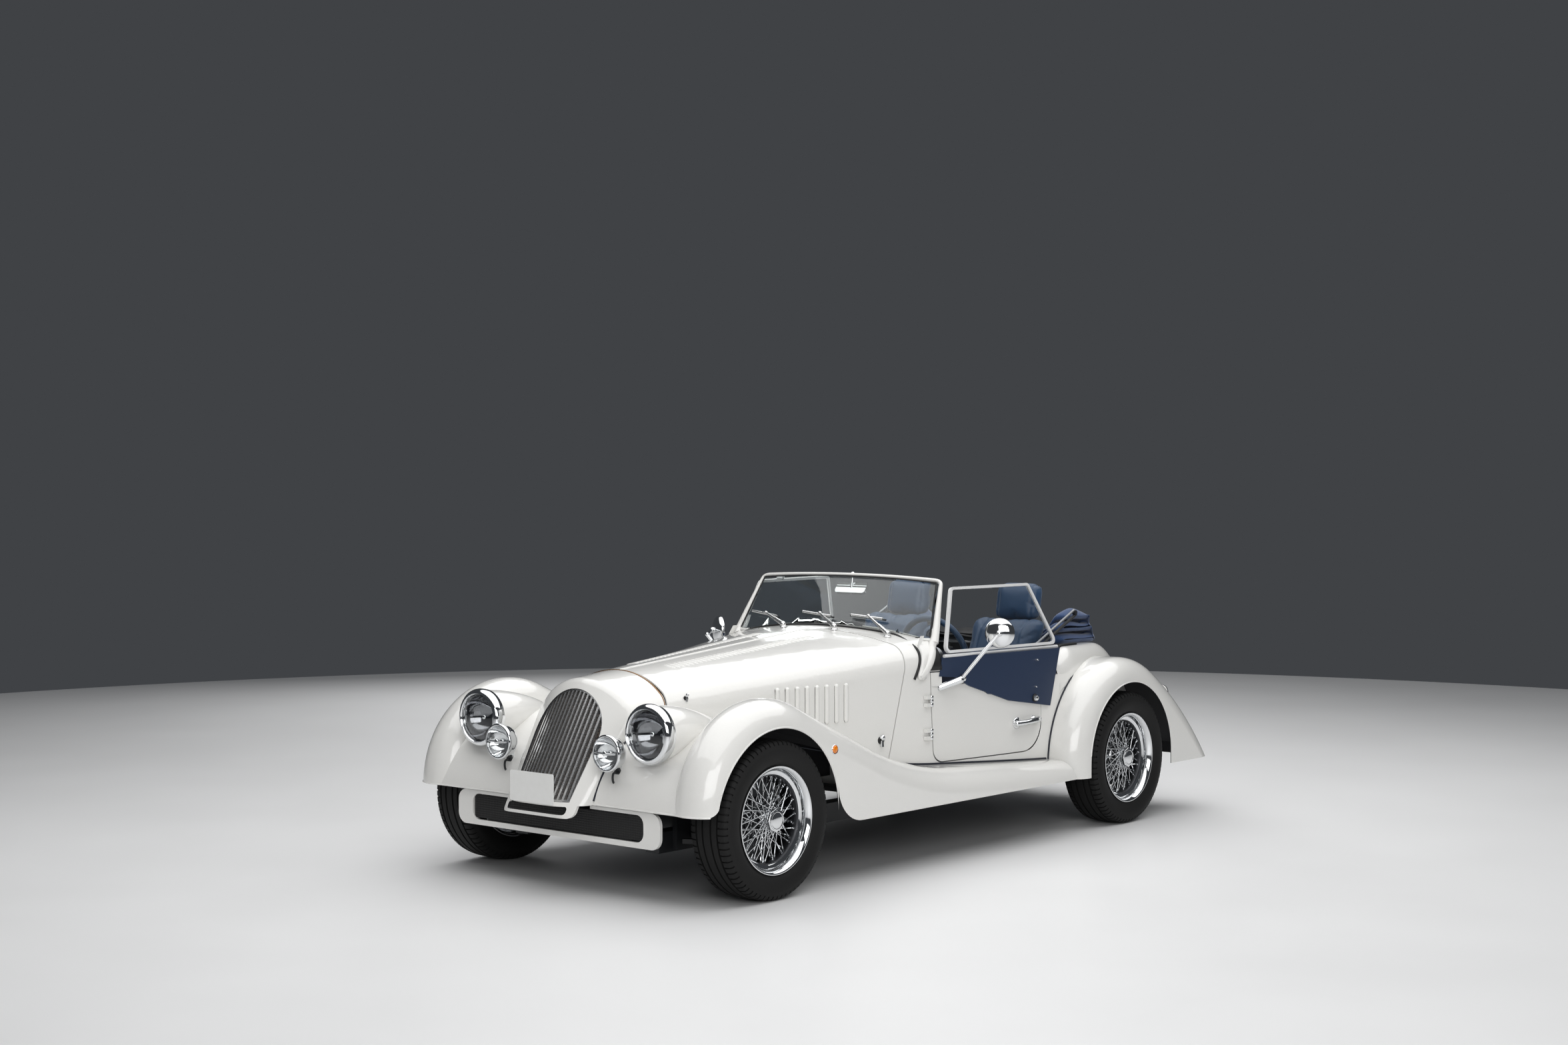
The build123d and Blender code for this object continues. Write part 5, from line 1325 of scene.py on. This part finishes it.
@dataclass
class Trim:
    """Welts, catches, louvres, beads, tail lamps and the quarter shoulders; sizes in millimetres."""

    welt_r: float = 4.6
    rear_welt_at: float = 464.0
    lamp_split: float = 0.52
    louvres: int = 34
    louvre_pitch: float = 25.0
    # the shoulder's stations, its edge radius, where the deck begins, and how it fades into the deck
    shoulder: tuple[int, int, int] = (2152, 2872, 15)
    shoulder_r: float = 66.0
    shoulder_slope: float = 380.0
    deck_start: int = 2440
    fade_start: float = 2560.0
    fade_run: float = 312.0
    # how far a panel stands off the body, or sinks into it where it ends
    proud: float = 0.8
    sunk: float = 0.5

    def build(self) -> None:
        """Set the trim on the coachwork."""
        for side in Side:
            self.welt(side)
            self.catches(side)
            self.top_louvres(side)
            self.repeater(side)
            self.beads(side)
            self.quarter(side)
        self.seam()
        for node, finish in {"side_repeaters": AMBER, "rear_plate": PLATE}.items():
            Pressing(node, finish).dress()
        self.tail_lamps()

    def tail_lamps(self) -> None:
        """Painted pods with bright rims and domed red glasses at their ends."""
        made = Pressing("rear_lamps", PAINT).dress()
        rims = Shape()
        domes = Shape()
        ends = {}
        for vert in made.data.vertices:
            key = (vert.co.x > 0, vert.co.z > self.lamp_split)
            ends.setdefault(key, []).append(vert.co)
        for places in ends.values():
            last = max(p.y for p in places)
            ring = [p for p in places if p.y > last - 0.0005]
            middle = sum(ring, Vector()) / len(ring)
            wide = max((p - middle).length for p in ring) * 1000
            back = Vector((0, 1, 0))
            rim = [(wide - 4, -8), (wide + 0.8, -8), (wide + 0.8, -1), (wide - 1, 1.5), (wide - 4, 1)]
            rims.lathe(rim, middle, back, steps=48, closed=True)
            turns = [i * math.pi / 16 for i in range(9)]
            dome = [(wide - 4, -1)] + [((wide - 4) * math.cos(a), 7 * math.sin(a)) for a in turns]
            domes.lathe(dome, middle, back, steps=48)
        rims.piece("tail_lamp_rims", CHROME)
        domes.piece("tail_lamp_glasses", RED)

    def catwalk(self, station: float) -> float:
        """Height of the wing's inner deck at a station: a round crown, a straight fall, a wide sweep and a tail.

        Args:
            station: millimetres behind the front axle.

        Returns:
            The height in millimetres.
        """
        crown_at, crown_z, crown_r = -20, 270, 392
        crown_end, sweep_start, sweep_end, sweep_r = 78, 1000.0, 1236, 1800
        if station < crown_end:
            return crown_z + math.sqrt(crown_r ** 2 - (station - crown_at) ** 2)
        turn, fall = math.radians(14.6), math.radians(24.2)
        first = (crown_at + crown_r * math.sin(turn), crown_z + crown_r * math.cos(turn))
        line_z = 350 + 413 * math.cos(fall) - (600 - 413 * math.sin(fall)) * math.tan(fall)
        hub = (600 + sweep_r * math.sin(fall), line_z + sweep_r * math.cos(fall))
        meet_z = hub[1] - math.sqrt(sweep_r ** 2 - (hub[0] - sweep_start) ** 2)
        if station < sweep_start:
            return first[1] + (meet_z - first[1]) * (station - first[0]) / (sweep_start - first[0])
        if station < sweep_end:
            return hub[1] - math.sqrt(sweep_r ** 2 - (hub[0] - station) ** 2)
        slope = math.tan(math.asin((hub[0] - sweep_end) / sweep_r))
        tail_z = hub[1] - math.sqrt(sweep_r ** 2 - (hub[0] - sweep_end) ** 2)
        return tail_z - (station - sweep_end) * slope

    def welt(self, side: Side) -> None:
        """The dark piping where wings and board meet the body.

        Args:
            side: the side of the car.
        """
        word = side.word
        skin = Skin("cowl", "bonnet_" + word, "body_tub", "door_" + word)
        line = []
        for station in [-400, -370, -330, -280, -230, -180, -120, -60, 0, 60] + list(range(120, 2060, 60)):
            spot, _ = skin.side(side, station, self.catwalk(station) + 3)
            if abs(spot.x) < 0.8:
                line.append(spot + Vector((side.value * 0.0012, 0, 0)))
        shape = Shape()
        shape.sweep(line, self.welt_r / 1000)
        rear = []
        tub = Skin("body_tub")
        for degrees in range(178, 82, -6):
            a = math.radians(degrees)
            station = WHEELBASE + self.rear_welt_at * math.cos(a)
            z = AXLE_Z * 1000 + self.rear_welt_at * math.sin(a)
            spot, normal = tub.side(side, station, z)
            if abs(spot.x) < 0.8:
                rear.append(spot + normal * 0.0012)
        shape.sweep(rear, self.welt_r / 1000)
        shape.piece("wing_welts_" + word, WELT)

    def catches(self, side: Side) -> None:
        """The bonnet's turning catches and their black bases.

        Args:
            side: the side of the car.
        """
        skin = Skin("bonnet_" + side.word, "cowl")
        bright = Shape()
        dark = Shape()
        for station, z, size in ((34, 735, 0.6), (997, 500, 1.0)):
            spot, normal = skin.side(side, station, z)
            dark.lathe([(0, 0), (17 * size, 0), (17 * size, 3), (14 * size, 6), (0, 7)], spot, normal, steps=24)
            high = spot + Vector((0, 0, 0.012 * size))
            knob = [(0, 5), (10 * size, 5), (12 * size, 9), (11 * size, 16), (7 * size, 20), (0, 21)]
            bright.lathe(knob, high, normal, steps=24)
            foot = spot + normal * 0.008
            bright.rod(foot, foot - Vector((0, 0, 0.026 * size)), 0.0065 * size, 0.0085 * size, sides=14)
        bright.piece("bonnet_catches_" + side.word, CHROME, "bonnet_body_" + side.word)
        dark.piece("bonnet_catch_bases_" + side.word, SEAL, "bonnet_body_" + side.word)

    def top_louvres(self, side: Side) -> None:
        """Small pressed louvres in a row beside the bonnet's hinge.

        Args:
            side: the side of the car.
        """
        skin = Skin("bonnet_" + side.word)
        shape = Shape()
        for i in range(self.louvres):
            station = 150 + i * self.louvre_pitch
            spot, normal = skin.top(side.value * (96 + 0.055 * station), station)
            along = Vector((0, 1, 0.09)).normalized()
            across = along.cross(normal).normalized()
            turn = Matrix((across, normal.cross(across), normal)).transposed().to_4x4()
            shape.ball(spot - normal * 0.0008, 0.5, (0.075, 0.0115, 0.0085), turn, rings=6)
        shape.piece("top_louvres_" + side.word, PAINT, "bonnet_body_" + side.word)

    def repeater(self, side: Side) -> None:
        """The bright rim round an amber repeater.

        Args:
            side: the side of the car.
        """
        shape = Shape()
        shape.lathe([(16, -3), (19.5, -3), (19.5, 1.5), (18, 3.4), (16.2, 3)], pt(side.value * 817.5, 326, 548),
                    Vector((side.value, 0, 0)), steps=40, closed=True)
        shape.piece("repeater_rim_" + side.word, CHROME)

    def beads(self, side: Side) -> None:
        """Rolled beads along the front wing's lip and round both wheel openings.

        Args:
            side: the side of the car.
        """
        shape = Shape()
        front = Skin("front_wing_" + side.word)
        lip = []
        for x in list(range(215, 760, 26)) + [770, 785, 797, 806, 812]:
            spot, _ = front.hit(pt(side.value * x, -700, 359), Vector((0, 1, 0)))
            if pt(0, -480, 0).y < spot.y < pt(0, -250, 0).y:
                lip.append(spot + Vector((0, 0, -0.002)))
        shape.sweep(lip, 0.0038)
        rear = Skin("rear_wing_" + side.word)
        for skin, middle, first, last in ((front, 0.0, 14, 158), (rear, WHEELBASE, 6, 174)):
            line = []
            for degrees in range(first, last + 1, 4):
                a = math.radians(degrees)
                spot, _ = skin.side(side, middle + 354 * math.cos(a), AXLE_Z * 1000 + 354 * math.sin(a))
                if 0.76 < abs(spot.x) < 0.9:
                    line.append(spot)
            shape.sweep(line, 0.0034)
        shape.piece("wing_beads_" + side.word, PAINT)

    def quarter(self, side: Side) -> None:
        """The painted shoulder between the door and the deck, with its black roll inside.

        Args:
            side: the side of the car.
        """
        tub = Skin("body_tub")
        shape = Shape()
        rows = []
        roll = []
        start, last, pitch = self.shoulder
        for station in range(start, last + 1, pitch):
            row = [shape.bm.verts.new(place) for place in self.shoulder_row(side, tub, station)]
            if station < self.deck_start:
                roll.append(row[-1].co + Vector((side.value * -0.003, 0, 0)))
            rows.append(row)
        shape.panel(rows)
        thicken(shape.piece("quarter_shoulder_" + side.word, PAINT), 0.003)
        soft = Shape()
        soft.sweep(roll, 0.011)
        soft.piece("cockpit_roll_" + side.word, LINING)

    def shoulder_row(self, side: Side, tub: Skin, station: float) -> list[Vector]:
        """One section of the shoulder, from the wing up and over to the deck.

        Args:
            side: the side of the car.
            tub: the body's skin.
            station: millimetres behind the front axle.

        Returns:
            The section's points.
        """
        grow = min(1.0, (station - self.shoulder[0]) / 150)
        grow = 3 * grow ** 2 - 2 * grow ** 3
        fade = eased(min(1.0, max(0.0, (station - self.fade_start) / self.fade_run)))
        base, tall = 650 + 58 * grow, 124 - 8 * grow
        top = base + tall
        half = abs(tub.side(side, station, base - 8)[0].x) * 1000 + self.proud
        arch = AXLE_Z * 1000 + math.sqrt(max(0.0, 480 ** 2 - (WHEELBASE - station) ** 2))
        lowest = min(base - 16, arch)
        row = []
        for share in (0.0, 0.3, 0.6, 0.85):
            z = lowest + (base - lowest) * share
            x = abs(tub.side(side, station, z)[0].x) * 1000 + self.proud - (self.proud + self.sunk) * fade
            row.append(pt(side.value * (x if x < 800 else half), station, z))
        inner = half - self.shoulder_r
        for degrees in range(0, 91, 9):
            a = math.radians(degrees)
            x = inner + self.shoulder_r * math.cos(a)
            deck = tub.top(side.value * x, station)[0].z * 1000 - self.sunk
            z = base + tall * math.sin(a)
            row.append(pt(side.value * x, station, z + (min(z, deck) - z) * fade))
        for step in (i / 16 for i in range(1, 17)):
            if station < self.deck_start:
                x, z = max(inner - 14 * step, 560.0 - step), top
            else:
                x = inner - self.shoulder_slope * step
                deck = tub.top(side.value * x, station)[0].z * 1000 - self.sunk * max(step, fade)
                z = top + (min(deck, top) - top) * max(fade, eased(step))
            row.append(pt(side.value * x, station, z))
        return row

    def seam(self) -> None:
        """The copper-brown line on the cowl's rear edge."""
        skin = Skin("cowl")
        shape = Shape()
        line = []
        for degrees in range(-100, 101, 5):
            a = math.radians(degrees)
            x = 700 * math.sin(a)
            z = 640 + 700 * math.cos(a)
            start = pt(x, -38.5 + (z - 836) * 0.233, z)
            way = pt(0, -38.5 + (640 - 836) * 0.233, 640) - start
            spot, normal = skin.hit(start, way.normalized())
            if (spot - start).length > 0.1:
                line.append(spot + normal * 0.0005)
        shape.sweep(line, 0.0026)
        shape.piece("bonnet_seam_line", COPPER)


@dataclass
class Cabin:
    """Dashboard, steering wheel, trim, seats and the folded hood; sizes in millimetres."""

    seat_x: float = 322.0
    dash_station: float = 1326.0
    # each dial's place, height and radius
    dial_at: tuple[tuple[float, float, float], ...] = (
        (258, 790, 48), (386, 790, 48), (60, 800, 28), (-10, 800, 28), (60, 735, 28), (-10, 735, 28))
    wheel_hub: tuple[float, float, float] = (322.0, 1650.0, 806.0)

    def build(self) -> None:
        """Dress the cabin."""
        Pressing("dashboard", WALNUT).dress()
        Pressing("cockpit_trim", CARPET).dress()
        Pressing("steering_column", CHASSIS).dress()
        self.hood_well()
        self.irons()
        self.steering_wheel()
        self.dials()
        self.seats()
        self.hood()

    def hood_well(self) -> None:
        """The lined board that closes the body between the bulkhead and the deck."""
        shape = Shape()
        low, high = pt(0, 2350, 700), pt(0, 2440, 768)
        reach = (high - low).length / 2
        lean = math.atan2(high.z - low.z, high.y - low.y)
        turn = Matrix.Translation((low + high) / 2) @ Matrix.Rotation(lean, 4, "X")
        shape.block(Vector((-0.6, -reach, -0.003)), Vector((0.6, reach, 0.003)), 0.0015, turn)
        shape.piece("hood_well_board", CARPET)

    def irons(self) -> None:
        """The folded hood irons on both sides: slim bars and their pivots."""
        shape = Shape()
        bright = Shape()
        for side in Side:
            x = side.value * 535
            for low, high in (((2140, 814), (2476, 963)), ((2152, 722), (2152, 826))):
                shape.rod(pt(x, *low), pt(x, *high), 0.0070, sides=10)
            for station, z in ((2134, 826), (2466, 972), (2152, 724)):
                shape.rod(pt(x - 8, station, z), pt(x + 8, station, z), 0.011, sides=16)
            bright.rod(pt(x, 2128, 836), pt(x, 2461, 984), 0.0062, sides=10)
        shape.piece("hood_irons", CHASSIS, stands_for=["hood_frame"])
        bright.piece("hood_iron_links", ALLOY)

    def steering_wheel(self) -> None:
        """Split the wheel's leather rim from its alloy middle by distance from the hub."""
        made = Pressing("steering_wheel", ALLOY, HIDE).dress()
        hub = pt(*self.wheel_hub)
        for face in made.data.polygons:
            face.material_index = int((face.center - hub).length > 0.155)

    def dials(self) -> None:
        """Instruments on the dashboard: bezels, black faces and plain ticks."""
        rims = Shape()
        faces = Shape()
        marks = Shape()
        back = Vector((0, 1, 0))
        for x, z, r in self.dial_at:
            spot = pt(x, self.dash_station, z)
            rims.lathe([(r, 0), (r + 5, 0), (r + 5, 5), (r + 2, 8), (r, 6)], spot, back, steps=40, closed=True)
            faces.lathe([(0, 0.2), (r, 0.2), (r, 2.0), (0, 2.0)], spot, back, steps=40)
            for i in range(11):
                a = math.radians(-135 + 27 * i)
                way = Vector((math.sin(a), 0, math.cos(a)))
                tick = spot + back * 0.0022
                marks.rod(tick + way * (r * 0.00078), tick + way * (r * 0.00093), 0.0008, sides=4)
            needle = Vector((math.sin(-1.9), 0, math.cos(-1.9)))
            pivot = spot + back * 0.004
            marks.rod(pivot - needle * 0.005, pivot + needle * (r * 0.00075), 0.0011, 0.0004, sides=5)
        rims.piece("dial_bezels", CHROME)
        faces.piece("dial_faces", DIAL)
        marks.piece("dial_marks", PLATE)

    def seats(self) -> None:
        """Padded cushion, back and headrest for both seats."""
        forms = {"cushion": self.cushion_form, "back": self.back_form, "headrest": self.headrest_form}
        for part, build in forms.items():
            padding = Padding("seat_" + part, *build())
            for side in Side:
                padding.place(side, "seat_" + side.word)

    def lean_back(self, shape: Shape, foot_z: float, slope: float) -> None:
        """Lean a block backwards.

        Args:
            shape: the block.
            foot_z: the height that stays in place, in millimetres.
            slope: how far back for each length up.
        """
        lean = Matrix.Identity(4)
        lean[1][2] = slope
        foot = pt(0, 0, foot_z)
        turn = Matrix.Translation(foot) @ lean @ Matrix.Translation(-foot)
        bmesh.ops.transform(shape.bm, matrix=turn, verts=shape.bm.verts)

    def cushion_form(self) -> tuple[Shape, tuple[float, ...]]:
        """The seat cushion before it is stuffed.

        Returns:
            The form, and where its sewn channels run, in millimetres to the left.
        """
        shape = Shape()
        shape.block(pt(self.seat_x - 205, 1570, 280), pt(self.seat_x + 205, 2030, 432), 0.045)
        return shape, (self.seat_x - 95, self.seat_x, self.seat_x + 95)

    def back_form(self) -> tuple[Shape, tuple[float, ...]]:
        """The seat back, leaning, before it is stuffed.

        Returns:
            The form, and where its sewn channels run, in millimetres to the left.
        """
        shape = Shape()
        shape.block(pt(self.seat_x - 195, 1978, 440), pt(self.seat_x + 195, 2080, 952), 0.045)
        self.lean_back(shape, 430, 0.42)
        return shape, (self.seat_x - 112, self.seat_x + 112)

    def headrest_form(self) -> tuple[Shape, tuple[float, ...]]:
        """The headrest before it is stuffed.

        Returns:
            The form, and where its sewn channels run, in millimetres to the left.
        """
        shape = Shape()
        shape.block(pt(self.seat_x - 118, 2254, 936), pt(self.seat_x + 118, 2342, 1108), 0.040)
        self.lean_back(shape, 940, 0.2)
        return shape, (self.seat_x - 92, self.seat_x + 92)

    def hood(self) -> None:
        """The hood cloth, folded in layers across the deck behind the seats."""
        section = [
            (2712, 819), (2600, 817), (2440, 818), (2400, 820), (2390, 844), (2404, 868), (2450, 872), (2560, 866),
            (2680, 858), (2706, 866), (2690, 878), (2600, 878), (2450, 876), (2404, 878), (2388, 898), (2402, 922),
            (2450, 926), (2560, 920), (2630, 912), (2664, 918), (2646, 930), (2560, 930), (2470, 930), (2424, 932),
            (2410, 950), (2428, 968), (2490, 982), (2557, 992), (2612, 974), (2652, 938), (2684, 902), (2712, 862),
            (2724, 826),
        ]
        mesh = line_mesh([pt(-505, station, z) for station, z in section], 5)
        shape = Shape()
        shape.bm.from_mesh(mesh)
        bpy.data.meshes.remove(mesh)
        width, steps = 1.010, 64
        loose = list(shape.bm.edges)
        for _ in range(steps):
            made = bmesh.ops.extrude_edge_only(shape.bm, edges=loose)["geom"]
            loose = [g for g in made if isinstance(g, bmesh.types.BMEdge)]
            verts = [g for g in made if isinstance(g, bmesh.types.BMVert)]
            loose = [e for e in loose if all(v in set(verts) for v in e.verts)]
            bmesh.ops.translate(shape.bm, verts=verts, vec=(width / steps, 0, 0))
        for vert in shape.bm.verts:
            x, y, z = vert.co
            wave = math.sin(x * 17 + z * 60) * 0.005 + math.sin(x * 41 + y * 23) * 0.004
            tall = 0.28 + 0.72 * min(1.0, (abs(x) / 0.445) ** 10)
            lobe = 0.844 if z < 0.873 else 0.900 if z < 0.926 else 0.952
            near_end = min(1.0, max(0.0, abs(x) - 0.462) / 0.043)
            shut = math.sqrt(max(0.0, 1 - near_end ** 2.4))
            middle = REAR_AXLE_Y + 0.035
            lift = max(0.0, (z - 0.81) / 0.17)
            z = lobe + (z - lobe) * (0.12 + 0.88 * shut)
            vert.co.z = 0.815 + max(0.0, z - 0.815) * tall + lift * wave
            vert.co.y = middle + (y - middle) * (0.80 + 0.20 * shut) + lift * math.sin(x * 13 + z * 48) * 0.016
        for face in shape.bm.faces:
            face.material_index = int(abs(face.calc_center_median().x) < 0.36)
        made = shape.piece("folded_hood_cloth", MOHAIR, stands_for=["hood_bundle"], sharp=80)
        made.data.materials.append(LINING.material())
        thicken(made, 0.004)
        soften(made)


class Padding:
    """A stuffed piece: remeshed, blown up as cloth, then sewn along its channels."""

    VOXEL = 0.006
    CAP = 0.022
    FRAMES = 20

    def __init__(self, name: str, form: Shape, channels: tuple[float, ...]) -> None:
        """Make the left-hand mesh once.

        Args:
            name: the piece's name without its side.
            form: the slightly small starting shape.
            channels: where sewn channels run, in millimetres to the left.
        """
        self.name = name
        self.mesh = self.stuff(form)
        self.sew(channels)

    def stuff(self, form: Shape) -> bpy.types.Mesh:
        """Remesh the form and blow it up.

        Args:
            form: the starting shape.

        Returns:
            The swollen mesh.
        """
        mesh = bpy.data.meshes.new(self.name + "_form")
        form.bm.to_mesh(mesh)
        form.bm.free()
        start = bpy.data.objects.new(self.name + "_form", mesh)
        bpy.context.scene.collection.objects.link(start)
        even = start.modifiers.new("even", "REMESH")
        even.mode = "VOXEL"
        even.voxel_size = self.VOXEL
        graph = bpy.context.evaluated_depsgraph_get()
        dense = bpy.data.meshes.new_from_object(start.evaluated_get(graph))
        bpy.data.objects.remove(start)
        rest = [v.co.copy() for v in dense.vertices]
        cloth = bpy.data.objects.new(self.name + "_cloth", dense)
        bpy.context.scene.collection.objects.link(cloth)
        blow = cloth.modifiers.new("blow", "CLOTH")
        blow.settings.use_pressure = True
        blow.settings.uniform_pressure_force = 4.0
        blow.settings.effector_weights.gravity = 0.0
        blow.settings.quality = 4
        blow.settings.tension_stiffness = 12.0
        blow.settings.compression_stiffness = 12.0
        for step in range(1, self.FRAMES + 1):
            bpy.context.scene.frame_set(step)
        graph = bpy.context.evaluated_depsgraph_get()
        swollen = bpy.data.meshes.new_from_object(cloth.evaluated_get(graph))
        bpy.data.objects.remove(cloth)
        bpy.context.scene.frame_set(1)
        for vert, place in zip(swollen.vertices, rest):
            move = vert.co - place
            if move.length > self.CAP:
                vert.co = place + move.normalized() * self.CAP
        return swollen

    def sew(self, channels: tuple[float, ...]) -> None:
        """Pull the sewn channels in and round the rest between them.

        Args:
            channels: where they run, in millimetres to the left.
        """
        work = bmesh.new()
        work.from_mesh(self.mesh)
        bmesh.ops.smooth_vert(work, verts=work.verts, factor=0.5, use_axis_x=True, use_axis_y=True, use_axis_z=True)
        work.normal_update()
        moves = []
        for vert in work.verts:
            near = min((abs(vert.co.x * 1000 - c) for c in channels), default=99.0)
            depth = 0.006 * math.exp(-(near / 8.0) ** 2)
            facing = max(0.0, abs(vert.normal.y), abs(vert.normal.z))
            moves.append((vert, vert.normal * -depth * facing))
        for vert, move in moves:
            vert.co += move
        work.to_mesh(self.mesh)
        work.free()

    def place(self, side: Side, node: str) -> None:
        """Put one copy on its side of the car.

        Args:
            side: the side.
            node: the CAD node that it stands for.
        """
        shape = Shape()
        shape.bm.from_mesh(self.mesh)
        if side is Side.RIGHT:
            bmesh.ops.scale(shape.bm, vec=(-1, 1, 1), verts=shape.bm.verts)
            bmesh.ops.reverse_faces(shape.bm, faces=shape.bm.faces)
        made = shape.piece(self.name + "_" + side.word, HIDE, stands_for=[node], sharp=80)
        soften(made)


class RunningGear:
    """Frame, axles and brakes, mostly seen in shadow."""

    FINISHES: dict[str, Finish] = {
        "chassis_frame": CHASSIS, "engine_block": IRON, "front_suspension": CHASSIS, "rear_axle": CHASSIS,
        "exhaust": ALLOY, "steering_rack": ALLOY, "knuckle_left": IRON, "knuckle_right": IRON,
    }

    def build(self) -> None:
        """Dress the running gear."""
        for node, finish in self.FINISHES.items():
            Pressing(node, finish, sharp=35).dress()


@dataclass
class Studio:
    """Floor, light and the camera at the photograph's angle."""

    camera_at: tuple[float, float, float] = (6.2530, -7.7464, 1.5976)
    yaw: float = 40.31
    pitch: float = 1.11
    lens: float = 51.08
    floor_r: float = 9.0

    def build(self) -> None:
        """Set the stage."""
        scene = bpy.context.scene
        scene.view_settings.view_transform = "Standard"
        self.camera(scene)
        self.floor(scene)
        self.lights(scene)

    def camera(self, scene: bpy.types.Scene) -> None:
        """Aim the camera as it stood for the picture.

        Args:
            scene: the scene to add to.
        """
        data = bpy.data.cameras.new("camera")
        data.lens = self.lens
        data.sensor_width = 36.0
        data.clip_end = 200.0
        made = bpy.data.objects.new("camera", data)
        scene.collection.objects.link(made)
        a = math.radians(self.yaw)
        e = math.radians(self.pitch)
        way = Vector((-math.sin(a) * math.cos(e), math.cos(a) * math.cos(e), -math.sin(e)))
        made.location = self.camera_at
        made.rotation_euler = way.to_track_quat("-Z", "Y").to_euler()
        scene.camera = made

    def floor(self, scene: bpy.types.Scene) -> None:
        """A plain pale disc under the car.

        Args:
            scene: the scene to add to.
        """
        work = bmesh.new()
        bmesh.ops.create_circle(work, cap_ends=True, radius=self.floor_r, segments=128)
        mesh = bpy.data.meshes.new("floor")
        work.to_mesh(mesh)
        work.free()
        mesh.materials.append(FLOOR.material())
        made = bpy.data.objects.new("floor", mesh)
        scene.collection.objects.link(made)

    def lights(self, scene: bpy.types.Scene) -> None:
        """One broad lamp overhead, two softer ones at the sides, and a grey room.

        Args:
            scene: the scene to add to.
        """
        table = (
            # name, place, aim, width, depth, power
            ("overhead", (0.3, 0.0, 4.6), (0.0, 0.0, 0.4), 10.0, 8.0, 450.0),
            ("front_left", (6.2, -5.6, 3.1), (0.0, -0.3, 0.5), 6.0, 3.4, 225.0),
            ("rear_right", (-6.0, 4.5, 3.2), (0.0, 0.6, 0.6), 3.5, 2.5, 130.0),
        )
        for name, place, aim, width, depth, power in table:
            data = bpy.data.lights.new(name, "AREA")
            data.shape = "RECTANGLE"
            data.size = width
            data.size_y = depth
            data.energy = power
            made = bpy.data.objects.new(name, data)
            scene.collection.objects.link(made)
            made.location = place
            made.rotation_euler = (Vector(aim) - Vector(place)).to_track_quat("-Z", "Y").to_euler()
            made.visible_glossy = name != "rear_right"
            made.visible_camera = False
        world = bpy.data.worlds.new("grey_room")
        world.use_nodes = True
        back = world.node_tree.nodes["Background"]
        back.inputs["Color"].default_value = linear("#404245")
        back.inputs["Strength"].default_value = 1.0
        scene.world = world


def main() -> None:
    """Build every sub-assembly in order."""
    logging.basicConfig(level=logging.INFO, format="%(name)s %(message)s")
    Studio().build()
    Coachwork().build()
    for name, side, axle in (
        ("front_left", Side.LEFT, FRONT_AXLE_Y), ("front_right", Side.RIGHT, FRONT_AXLE_Y),
        ("rear_left", Side.LEFT, REAR_AXLE_Y), ("rear_right", Side.RIGHT, REAR_AXLE_Y),
    ):
        WireWheel(side, axle, name).build()
    Nose().build()
    Screen().build()
    for side in Side:
        DoorFittings(side).build()
    Trim().build()
    Cabin().build()
    RunningGear().build()


if __name__ == "__main__":
    main()
